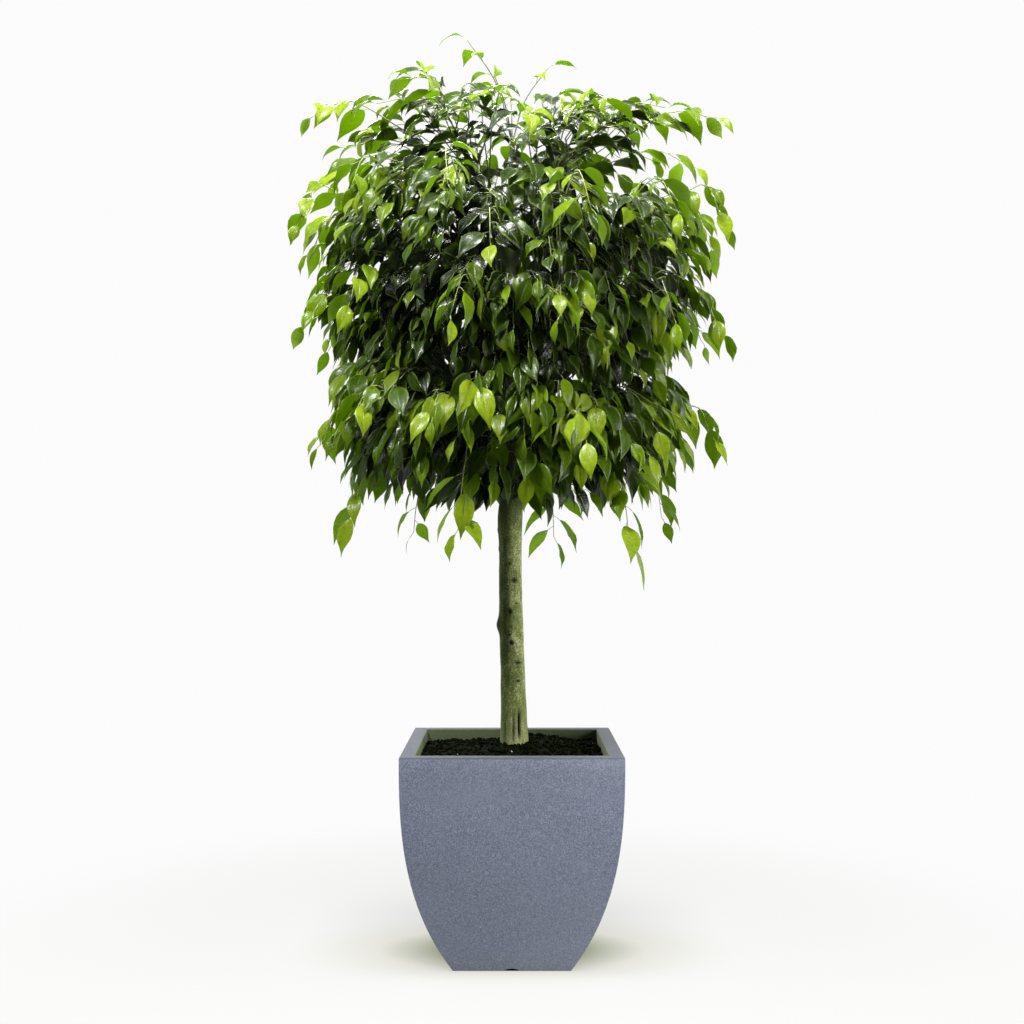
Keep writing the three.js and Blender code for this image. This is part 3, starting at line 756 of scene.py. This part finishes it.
def limb_path(bough):
    """A limb rises out of the trunk and ends just before the middle of its bough's cell."""
    start = trunk_middle(bough.fork)
    distance = (bough.near + bough.far) / 2 - (bough.far - bough.near) * LIMB_SHORT
    middle_height = (bough.low + bough.high) / 2 + tier_lift(bough.bearing)
    end = polar(distance, bough.bearing, middle_height)
    knee = (start + end) / 2 + Vector((0, 0, LIMB_BOW))
    return smooth([start, knee, end], LIMB_STEPS)


def tapered(path, first, last):
    """A path's points with radii from first to last."""
    return [(*point, first + (last - first) * k / (len(path) - 1)) for k, point in enumerate(path)]


for bough in boughs:
    bough.limb = limb_path(bough)
    limb = tubes("limb", [tapered(bough.limb, LIMB_BASE_RADIUS, LIMB_END_RADIUS)], LIMB_SIDES)
    combine(trunk, limb, "UNION", "MANIFOLD")
smoothed(trunk, 50)
points = coordinates(trunk.data).astype(float)
# The scars' own dark, and the painted shade in the collar's clefts.
_, scars_and_cleft_shade = bark_relief(*points.T)
scars_and_cleft_shade[points[:, 2] > FORK_HEIGHT] = 0
trunk.data.attributes.new("scar", "FLOAT", "POINT").data.foreach_set("value", scars_and_cleft_shade.astype(np.float32))

bark = Paint("olive bark", Roughness=0.8, Specular_IOR_Level=0.3)
place = bark.node("TexCoord", output="Object")
tall = bark.node("Mapping", {}, {"Vector": place, "Scale": (1, 1, 0.4)})
specks = bark.grain(place, size=0.0017, detail=2, roughness=0.7)
streaks = bark.grain(tall, size=0.007, detail=4, roughness=0.65)
patches = bark.grain(place, size=0.03, detail=2)
x, _, height = bark.parts(place)
skin = bark.ramp(
    streaks * 0.45 + specks * 0.55,
    (0.36, (0.070, 0.098, 0.016)), (0.5, (0.195, 0.230, 0.066)), (0.62, (0.52, 0.53, 0.28)),
)
mossy = bark.blend(bark.step(patches, 0.42, 0.65) * 0.5, skin, (0.115, 0.155, 0.035))
aged = bark.blend(bark.step(height, 0.56, 0.45) * 0.3, mossy, (0.30, 0.29, 0.14))
shaded = bark.blend(bark.step(x * -1, -0.004, 0.016) * 0.54, aged, (0.030, 0.072, 0.001))
# The limbs and the trunk's top under the head: darker green wood, and painted shade for the head's shadow.
green_wood_and_painted_shade = bark.blend(bark.step(height, 0.90, 1.02) * 0.9, shaded, (0.030, 0.045, 0.012))
scar = bark.node("Attribute", {"attribute_name": "scar"}, output="Fac")
bark.set(
    Base_Color=bark.blend(scar, green_wood_and_painted_shade, (0.012, 0.018, 0.006)),
    Normal=bark.relief(streaks + specks * 0.8, 0.0018, Strength=0.8),
)
trunk.data.materials.clear()
trunk.data.materials.append(bark.material)
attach(trunk, "root")
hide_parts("trunk")


# Boughs
#
# The leafy head, one bough for each cell: thin twigs that arch out of the limb and hang at their ends, with
# glossy leaves that stand to either side of them in turn. A leaf hangs on a thin stalk, folds along its
# midrib, and ends in a long drip tip.

LEAF_LENGTH = 0.071
LEAF_WIDTH = 0.031
LEAF_VARIATION = 0.18
LENGTH_LIMITS = (0.62, 1.35)
WIDTH_VARIATION = 0.1
WIDTH_LIMITS = (0.6, 1.35)
LEAF_SIZES = ((1.05, 1.2), (1.30, 1))  # by height
# How young and pale a tier's leaves are, and what a spray, a tip and chance add. A free place adds youth
# and painted light, and a deep place takes youth away and paints shade.
YOUTH = {"skirt": 0.2, "middle": 0.04, "shoulder": 0.02, "upper": 0.17}
SPRAY_YOUTH = 0.15
TIP_YOUTH = 0.2
CHANCE_YOUTH = 0.74
FREE_YOUTH_AND_PAINTED_LIGHT = 0.25
DEEP_AGE_AND_PAINTED_SHADE = 0.5
YOUNGEST = 0.76
# Depths inside the head over which leaves turn old and are painted dark as shade, and distances out of it
# over which they turn young and are painted pale as light.
DEEP_LEAVES = (0.015, 0.10)
FREE_LEAVES = (0, 0.06)
HEAD_TOP = 1.80
# Places along the blade, and half its width there.
LEAF_ROWS = (
    (0, 0), (0.04, 0.24), (0.12, 0.56), (0.24, 0.85), (0.38, 0.99), (0.52, 0.93), (0.65, 0.69), (0.76, 0.40),
    (0.87, 0.16), (1, 0),
)
# Of half the width: how far the margins rise over the midrib, how far the halves bulge, how far the margins
# wave, and how thick the blade is at its midrib.
LEAF_FOLD = 0.24
LEAF_PILLOW = 0.24
LEAF_WAVE = 0.13
LEAF_THICKNESS = 0.05
LEAF_WAVES = 11  # radians of the wave from base to tip
MARGIN_ANGLE = 110  # degrees over which an edge is sharp, as the margin is
STALK = 0.018
STALK_RADIUS = 0.0008
STALK_PLACES = (-1, -0.5, 0)
STALK_SIDES = 3
STALK_RISE = 0.6  # the share of a stalk that keeps to the way it leaves the twig
TWIG_SIDES = 4
TWIG_RADIUS = 0.0017
TWIG_TIP_RADIUS = 0.0008
TWIG_STEPS = 9
# Inside these distances twigs are painted near black as shade; outside them they keep their pale rind.
TWIG_SHADE_DISTANCES = (0.26**2, 0.32**2)  # squared distances from the trunk between which twigs turn pale
# Near the head's top that painted shade is a little lighter.
TWIG_SHADE_TOP = (1.60, 1.72)  # heights between which the inner ones turn a little paler
VEIN_ROWS = 82  # radians of the rows from base to tip
VEIN_SLANT = 0.16
LEAF_SPACING = 0.025
LAST_LEAF = 0.995  # its place on a twig
LAST_ASIDE = 0.15  # its turn aside, where the others' is 1
TWIGS = {"skirt": 31, "middle": 34, "shoulder": 32, "upper": 15}
TURN = 0.618034  # from a twig to the next, so that their bearings never line up
HANGING_ROOTS = (0.35, 1)  # shares of a limb's length
HANGING_REACH = (0.9, 1.02)  # to the head's outline
HANGING_CRESTS = (0.12, 0.3)  # how far back from its end a twig is highest
HANGING_BARE = (0.36, 0.5)  # the share of a twig before its first leaf
HANGING_ARCH = 0.03
TAIL = (0.02, 0.06)  # how far a twig hangs down at its end
TAIL_GROWTH = 0.06  # and how much farther at a cell's foot
DEEP_TWIGS = 0.3  # the share that end inside the head
DEEP_REACH = (0.2, 0.75)  # and how far inside, as a share of the cell
LONG_TWIGS = 0.14  # the share of the others that reach out of it
LONG_REACH = (0.02, 0.05)
# Shares of a cell's height below its top where its first and its last twigs end.
CELL_TOP = {"skirt": 0.08, "middle": 0.08, "shoulder": 0.26}
CELL_FOOT = 0.97
INNER_TWIGS = 4  # that hang from a skirt limb near the trunk
INNER_ROOTS = (0.15, 0.5)  # the first one's share of the limb, and the share that all take up
INNER_REACH = (0.06, 0.17)
INNER_CLIMB = (-0.01, 0.05)
INNER_ARCH = 0.02
RISING_CLIMB = (-0.045, 0.025)  # over the cell's top
RISING_BARE = (0.2, 0.35)
RISING_ROOTS = 0.2  # the lowest one's share of the limb
RISING_CREST = (0.8, 0.02)  # its share of the way out, and its height over the end
RISING_SAG = (0.55, 0.01)  # its share of the way to the crest, and its depth
# How far the twigs of the head reach, by height.
OUTLINE = (
    (1.00, 0.270), (1.06, 0.335), (1.13, 0.365), (1.20, 0.355), (1.26, 0.322), (1.33, 0.345), (1.40, 0.390),
    (1.50, 0.400), (1.57, 0.335), (1.62, 0.215), (1.70, 0.350), (1.80, 0.350),
)
HEAD_LUMPS = 0.1
HEAD_LUMP_SCALE = (2.4, 9)  # the noise's radius round the head, and its height to a metre
UPPER_REACH = 0.365
UPPER_SLOPE = 0.06
# Sprays start, crest and end at these shares of their cell, and at these distances from its edges.
SPRAY_TURN = 0.45
SPRAY_ROOT = 0.3
SPRAY_ROOT_HEIGHT = 0.55
SPRAY_CREST = 0.3
SPRAY_END = 0.022
SPRAY_HEIGHT = 0.68
SPRAY_BARE = 0.3
DANGLE_DROP = 0.085
DANGLE_ROOT_HEIGHT = 0.3
DANGLE_KNEE = (0.16, 0.3)  # its share of the cell inward, and of the drop
DANGLE_END = 0.12
# From the height of the cells' tops on, leaves hang less and arch more.
LEVEL_START = 1.5
LEVEL_RANGE = 0.27
LEVEL_MOST = 0.6
UP = Vector((0, 0, 1))

draw_state = SEED


def spread(size):
    """A seeded number from -size to size."""
    global draw_state
    draw_state = (draw_state * 1664525 + 1013904223) & 0xFFFFFFFF
    return (draw_state / 2**32 - 0.5) * 2 * size


def sprays(bough):
    """The two long sprays of a bough, which reach out of the head. One of a skirt bough's falls straight."""
    cell_depth = bough.far - bough.near
    rise = bough.high - bough.low
    made = []
    for side in (-1, 1):
        bearing = bough.bearing + side * bough.half_turn * SPRAY_TURN
        foot = bough.low + tier_lift(bearing)
        if bough.name == "skirt" and side > 0:
            drop = DANGLE_DROP + spread(0.020)
            made.append([
                polar(bough.far - cell_depth * SPRAY_ROOT, bearing, foot + rise * DANGLE_ROOT_HEIGHT),
                polar(bough.far - cell_depth * DANGLE_KNEE[0], bearing, foot - drop * DANGLE_KNEE[1]),
                polar(bough.far - cell_depth * DANGLE_END, bearing, foot - drop),
            ])
            continue
        crest = foot + rise * SPRAY_HEIGHT + bough.climb + spread(0.008)
        crest_reach = bough.far + (bough.tips - bough.far) * SPRAY_CREST
        end_reach = bough.tips - SPRAY_END + spread(0.008)
        end_bearing = bearing + spread(0.05)
        made.append([
            polar(bough.far - cell_depth * SPRAY_ROOT, bearing, foot + rise * SPRAY_ROOT_HEIGHT),
            polar(crest_reach, bearing, crest),
            polar(end_reach, end_bearing, crest - bough.fall - spread(0.012)),
        ])
    return made


for bough in boughs:
    bough.sprays = sprays(bough)


def face_at(bearing, height):
    """How far the twigs reach there: the outline of the head, with lumps on it."""
    round_head, up_head = HEAD_LUMP_SCALE
    lump = HEAD_LUMPS * noise.noise(polar(round_head, bearing, height * up_head))
    return np.interp(height, *zip(*OUTLINE)) * (1 + lump)


def limb_point(bough, share):
    return bough.limb[round(LIMB_STEPS * share)]


def turned(bough, k):
    """The bearing of a bough's twig k, somewhere in its cell."""
    return bough.bearing + bough.half_turn * ((k * TURN) % 1 * 2 - 1)


def hanging_twigs(bough):
    """Twigs that arch from the limb to all of the cell's outer face, or end inside it, and hang at last."""
    count = TWIGS[bough.name]
    cell_top = CELL_TOP[bough.name]
    made = []
    for k in range(count):
        share = (k + 0.5) / count
        bearing = turned(bough, k)
        below = cell_top + share * (CELL_FOOT - cell_top)
        height = bough.high - (bough.high - bough.low) * below
        distance = face_at(bearing, height) * rng.uniform(*HANGING_REACH)
        if rng.random() < DEEP_TWIGS:
            distance -= (bough.far - bough.near) * rng.uniform(*DEEP_REACH)
        elif rng.random() < LONG_TWIGS:
            distance += rng.uniform(*LONG_REACH)
        end = polar(distance, bearing, height + tier_lift(bearing))
        root = limb_point(bough, rng.uniform(*HANGING_ROOTS))
        tail = rng.uniform(TAIL[0], TAIL[1] + TAIL_GROWTH * share)
        crest = end.lerp(Vector((root.x, root.y, end.z)), rng.uniform(*HANGING_CRESTS)) + UP * tail
        made.append([root, root.lerp(crest, 0.5) + UP * rng.uniform(0, HANGING_ARCH), crest, end])
    return made


def inner_twigs(bough):
    """Short twigs that hang from a limb close to the trunk, and hide the fork."""
    made = []
    for k in range(INNER_TWIGS):
        root = limb_point(bough, INNER_ROOTS[0] + INNER_ROOTS[1] * k / INNER_TWIGS)
        bearing = bough.bearing + bough.half_turn * rng.uniform(-1, 1)
        end = polar(rng.uniform(*INNER_REACH), bearing, root.z + rng.uniform(*INNER_CLIMB))
        made.append([root, root.lerp(end, 0.5) + UP * INNER_ARCH, end])
    return made


def rising_twigs(bough):
    """Twigs that stand up out of the limb, lean outward and arch over at their ends."""
    count = TWIGS[bough.name]
    made = []
    for k in range(count):
        share = (k + 0.5) / count
        bearing = turned(bough, k)
        root = limb_point(bough, RISING_ROOTS + (1 - RISING_ROOTS) * share)
        distance = bough.near + (UPPER_REACH - bough.near) * math.sqrt(share)
        height = bough.high + tier_lift(bearing) + rng.uniform(*RISING_CLIMB) - UPPER_SLOPE * distance
        end = polar(distance, bearing, height)
        crest = polar(distance * RISING_CREST[0], bearing, height + RISING_CREST[1])
        made.append([root, root.lerp(crest, RISING_SAG[0]) - UP * RISING_SAG[1], crest, end])
    return made


def leaf_places(path, first, droop, youth, side_on=0):
    """Leaves on a stem, on its one side and its other in turn, from a share of its length on. They hang
    straight down at droop 1, and arch over from a level start at droop 0. They face out of the head at
    side_on 0, and to the stem's two sides at side_on 1."""
    stem_length = sum((b - a).length for a, b in zip(path, path[1:]))
    count = max(3, round(stem_length * (1 - first) / LEAF_SPACING * (0.7 + 0.3 * droop)))
    made = []
    for k in range(count):
        last = k == count - 1
        along = first + (LAST_LEAF - first) * k / (count - 1)
        step = min(int(along * (len(path) - 1)), len(path) - 2)
        root = path[step].lerp(path[step + 1], along * (len(path) - 1) - step)
        onward = (path[step + 1] - path[step]).normalized()
        bearing = math.atan2(root.y, root.x)
        outward = polar(1, bearing, 0)
        depth = min(face_at(bearing, root.z) - root.xy.length, HEAD_TOP - root.z)
        around = Vector((-outward.y, outward.x, 0)) * (1 if k % 2 else -1)
        aside = around * (LAST_ASIDE if last else 1)
        rise = (onward * 0.6 + aside + outward * 0.25 + UP * 0.15).normalized()
        hang = -UP * (droop + rng.normal(0, 0.1))
        hang += outward * rng.normal(0.35 - 0.1 * side_on, 0.25 - 0.1 * side_on)
        hang += aside * rng.normal(0.4 + 0.3 * (1 - droop), 0.3) + onward * 0.25
        upward = rng.uniform(0.1, 0.9) + 2.5 * (1 - droop) * (1 - side_on)
        face = outward * (1 - 0.8 * side_on) + UP * upward
        face += around * rng.normal(1.3 * side_on, 0.75 - 0.35 * side_on)
        size = rng.normal(1, LEAF_VARIATION) * (1 - 0.25 * last) * np.interp(root.z, *zip(*LEAF_SIZES))
        bend = rng.uniform(0.25, 0.85) + 1.4 * (1 - droop)
        twist = rng.normal(0, 0.35)
        fold = rng.uniform(0.4, 1.5)
        length = LEAF_LENGTH * np.clip(size, *LENGTH_LIMITS)
        width = LEAF_WIDTH * np.clip(size * rng.normal(1, WIDTH_VARIATION), *WIDTH_LIMITS)
        young = youth + TIP_YOUTH * along**3 + CHANCE_YOUTH * rng.random() ** 2
        # Painted light and shade: leaves out of the head paler, deep ones darker.
        young += FREE_YOUTH_AND_PAINTED_LIGHT * np.interp(-depth, FREE_LEAVES, (0, 1))
        young -= DEEP_AGE_AND_PAINTED_SHADE * np.interp(depth, DEEP_LEAVES, (0, 1))
        made.append({
            "root": root, "rise": rise, "hang": hang.normalized(), "face": face, "bend": bend, "twist": twist,
            "fold": fold, "length": length, "width": width, "young": min(young, YOUNGEST),
        })
    return made


def leaf_blank():
    """One leaf of length 1 and half width 1, closed all round, on a stalk that runs from -1 to 0. Its own map
    runs from 0 to 1 across the upper side and from 1 to 2 across the under side."""
    mesh = bmesh.new()
    chart = mesh.loops.layers.uv.new("blade")
    where = {}

    def face(corners, under):
        made = mesh.faces.new(corners[::-1] if under else corners)
        for corner in made.loops:
            side, along = where[corner.vert]
            corner[chart].uv = ((side + 1) / 2 + under, along)

    rings = []
    for along in STALK_PLACES:
        corners = (2 * math.pi * k / STALK_SIDES for k in range(STALK_SIDES))
        rings.append([mesh.verts.new((math.sin(corner), along, math.cos(corner))) for corner in corners])
        where.update((vertex, (0, -0.1)) for vertex in rings[-1])
    for low, high in zip(rings, rings[1:]):
        for k in range(STALK_SIDES):
            face([low[k - 1], low[k], high[k], high[k - 1]], 0)
    face(rings[0], 0)
    face(rings[-1], 1)
    for columns, under in (((-1, -0.5, 0, 0.5, 1), 0), ((-1, 0, 1), 1)):
        sheet = []
        for along, width in LEAF_ROWS:
            for side in columns:
                pillow = LEAF_PILLOW * (abs(side) == 0.5) - LEAF_THICKNESS * under * (side == 0)
                wave = LEAF_WAVE * abs(side) ** 3 * math.sin(along * LEAF_WAVES + side)
                height = width * (LEAF_FOLD * abs(side) + pillow + wave)
                sheet.append(mesh.verts.new((side * width, along, height)))
                where[sheet[-1]] = (side, along)
        for k in range(len(sheet) - len(columns)):
            if (k + 1) % len(columns):
                face([sheet[k], sheet[k + 1], sheet[k + 1 + len(columns)], sheet[k + len(columns)]], under)
    bmesh.ops.remove_doubles(mesh, verts=mesh.verts, dist=1e-5)
    data = bpy.data.meshes.new("leaf blank")
    mesh.to_mesh(data)
    return data


blank = leaf_blank()
blank_points = coordinates(blank).astype(float)
on_stalk = np.arange(len(blank_points)) < STALK_SIDES * len(STALK_PLACES)
assert (blank_points[on_stalk, 1] <= 0).all() and (blank_points[~on_stalk, 1] >= 0).all()


def unit(rows):
    return rows / np.linalg.norm(rows, axis=-1, keepdims=True)


def grown(leaves):
    """The vertices of a copy of the blank for every leaf, bent along its own arc."""

    def column(key):
        return np.array([leaf[key] for leaf in leaves], float)

    root, rise, hang, face = column("root"), column("rise"), column("hang"), column("face")
    bend, twist, fold = (column(key)[:, None, None] for key in ("bend", "twist", "fold"))
    length, width = column("length")[:, None, None], column("width")[:, None, None]
    out = unit(face - (face * hang).sum(1, keepdims=True) * hang)
    half = column("bend")[:, None] / 2
    start = (np.cos(half) * hang + np.sin(half) * out)[:, None]
    normal = (np.cos(half) * out - np.sin(half) * hang)[:, None]
    across = np.cross(start, normal)
    base = (root + STALK * (STALK_RISE * rise + (1 - STALK_RISE) * start[:, 0]))[:, None]

    side, along, height = (blank_points[None, :, k, None] for k in range(3))
    bent = bend * along
    line = base + length * (np.sin(bent) * start - (1 - np.cos(bent)) * normal) / bend
    up = np.cos(bent) * normal + np.sin(bent) * start
    rolled = twist * along
    sideways = np.cos(rolled) * across + np.sin(rolled) * up
    upward = np.cos(rolled) * up - np.sin(rolled) * across
    blade = line + width / 2 * (side * sideways + height * fold * upward)

    back = 1 + along
    stalk_line = root[:, None] * (1 - back) ** 2 + base * back**2
    stalk_line += 2 * back * (1 - back) * (root + STALK_RISE * STALK * rise)[:, None]
    stalk = stalk_line + STALK_RADIUS * (side * across + height * normal)
    return np.where(on_stalk[None, :, None], stalk, blade)


leaf = Paint("fig leaf", Specular_IOR_Level=0.28)
across, along, _ = leaf.parts(leaf.node("UVMap", {"uv_map": "blade"}))
under = across > 1
aside = abs((across - under) * 2 - 1)
# Each leaf's youth, with painted light on leaves out of the head and painted shade on deep ones.
young = leaf.node("Attribute", {"attribute_name": "young"}, output="Fac")
place = leaf.node("TexCoord", output="Object")
mottle = leaf.grain(place, size=0.0035)
midrib = 1 - leaf.step(aside, 0.02, 0.11)
rows = ((along - aside * VEIN_SLANT) * VEIN_ROWS).sine()
veins = leaf.step(rows, 0.55, 1.0) * (1 - midrib)
upper = leaf.ramp(
    young + mottle * 0.4 - 0.13,
    (0.0, (0.002, 0.004, 0.0005)), (0.2, (0.005, 0.011, 0.0005)), (0.45, (0.033, 0.065, 0.001)),
    (0.75, (0.175, 0.255, 0.005)), (1.0, (0.40, 0.47, 0.025)),
)
# Painted highlight: a pale rim along each margin, as light catching the edge.
painted_rim_highlight = leaf.blend(leaf.step(aside, 0.76, 0.92) * 0.35, upper, (0.24, 0.36, 0.05))
veined = leaf.blend(veins * 0.14, painted_rim_highlight, (0.18, 0.3, 0.02))
ribbed = leaf.blend(midrib * 0.35, veined, (0.21, 0.33, 0.04))
stalked = leaf.blend(1 - leaf.step(along, -0.05, 0), ribbed, (0.46, 0.52, 0.22))
leaf.set(
    Base_Color=leaf.blend(under * 0.5, stalked, (0.065, 0.125, 0.015)),
    Roughness=0.15 + under * 0.35 + mottle * 0.2,
    Normal=leaf.relief(veins * 0.4 - midrib + mottle * 0.5, 0.0006, Strength=0.6),
)
glossy = Number(leaf, leaf.shader.outputs[0])
through = leaf.node("BsdfTranslucent", {}, {"Color": (0.47, 0.68, 0.015)})
thinness = leaf.step(young, -0.3, 0.7) * 0.42
mixed = leaf.node("MixShader", {}, {0: thinness, 1: glossy, 2: through})
leaf.feed(leaf.tree.nodes["Material Output"].inputs["Surface"], mixed)

twig = Paint("green twig", Roughness=0.7)
place = twig.node("TexCoord", output="Object")
x, y, height = twig.parts(place)
rind = twig.ramp(twig.grain(place, size=0.004), (0.35, (0.24, 0.29, 0.08)), (0.65, (0.45, 0.49, 0.22)))
# Painted shade: twigs deep in the head near black, a little less so near its top.
inner_twig_painted_shade = (1 - twig.step(x * x + y * y, *TWIG_SHADE_DISTANCES)) * (1 - twig.step(height, *TWIG_SHADE_TOP) * 0.25)
twig.set(Base_Color=twig.blend(inner_twig_painted_shade, rind, (0.02, 0.032, 0.005)))


def dress(name, number, paths, leaves, node):
    """The twigs and the leaves of one bough, or of the crown."""
    stems = [tapered(path, TWIG_RADIUS, TWIG_TIP_RADIUS) for path in paths]
    wood = tubes(f"{name}_twigs_{number}", stems, TWIG_SIDES)
    bpy.ops.object.shade_smooth()
    wood.data.materials.append(twig.material)
    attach(wood, "root")
    youths_and_painted_light = [grown_leaf["young"] for grown_leaf in leaves]
    foliage = copies(f"{name}_leaves_{number}", blank, grown(leaves), {"young": youths_and_painted_light})
    smoothed(foliage, MARGIN_ANGLE)
    foliage.data.materials.append(leaf.material)
    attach(foliage, "root")
    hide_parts(node)


for bough in boughs:
    droop = 1 - LEVEL_MOST * max(0, (bough.high - LEVEL_START) / LEVEL_RANGE)
    youth = YOUTH[bough.name]
    if bough.name == "upper":
        twig_lines, bare = rising_twigs(bough), RISING_BARE
    else:
        twig_lines, bare = hanging_twigs(bough), HANGING_BARE
    if bough.name == "skirt":
        twig_lines += inner_twigs(bough)
    paths = []
    leaves = []
    for twig_line in twig_lines:
        path = smooth(twig_line, TWIG_STEPS)
        paths.append(path)
        leaves += leaf_places(path, rng.uniform(*bare), droop, youth)
    side_on = 0.5 if bough.name == "skirt" else 1
    for spray_line in bough.sprays:
        path = smooth(spray_line, TWIG_STEPS)
        paths.append([*smooth([bough.limb[-1], spray_line[0]], 3)[:-1], *path])
        leaves += leaf_places(path, SPRAY_BARE, 0.5 + 0.4 * droop, youth + SPRAY_YOUTH, side_on)
    dress(bough.name, bough.number, paths, leaves, f"{bough.name}_bough_{bough.number}")


# Crown
#
# The leader's last shoots stand up out of the top of the head, thin and airy. Each leans outward as it rises,
# and its leaves arch to its two sides.

# Shoots by bearing in degrees, lean outward and rise above the leader.
SHOOTS = (
    (180, 0.096, 0.222), (335, 0.084, 0.150), (92, 0.092, 0.128), (250, 0.108, 0.112), (28, 0.150, 0.098),
)
SIDE_SHOOTS = 3
SIDE_SHOOT_LEAN = (0.08, 0.18)
SIDE_SHOOT_RISE = (0.02, 0.07)
SHOOT_KNEE = (0.35, 0.58)  # its shares of the lean and of the rise

tip = trunk_middle(LEADER_TOP)
shoots = [(math.radians(bearing), lean, rise) for bearing, lean, rise in SHOOTS]
for k in range(SIDE_SHOOTS):
    shoots.append((2 * math.pi * k * TURN, rng.uniform(*SIDE_SHOOT_LEAN), rng.uniform(*SIDE_SHOOT_RISE)))
paths = []
leaves = []
for bearing, lean, rise in shoots:
    knee = tip + polar(lean * SHOOT_KNEE[0], bearing, rise * SHOOT_KNEE[1])
    path = smooth([tip, knee, tip + polar(lean, bearing, rise)], TWIG_STEPS)
    paths.append(path)
    leaves += leaf_places(path, first=0.3, droop=0.45, youth=0.4, side_on=0.7)
dress("crown", 1, paths, leaves, "crown")
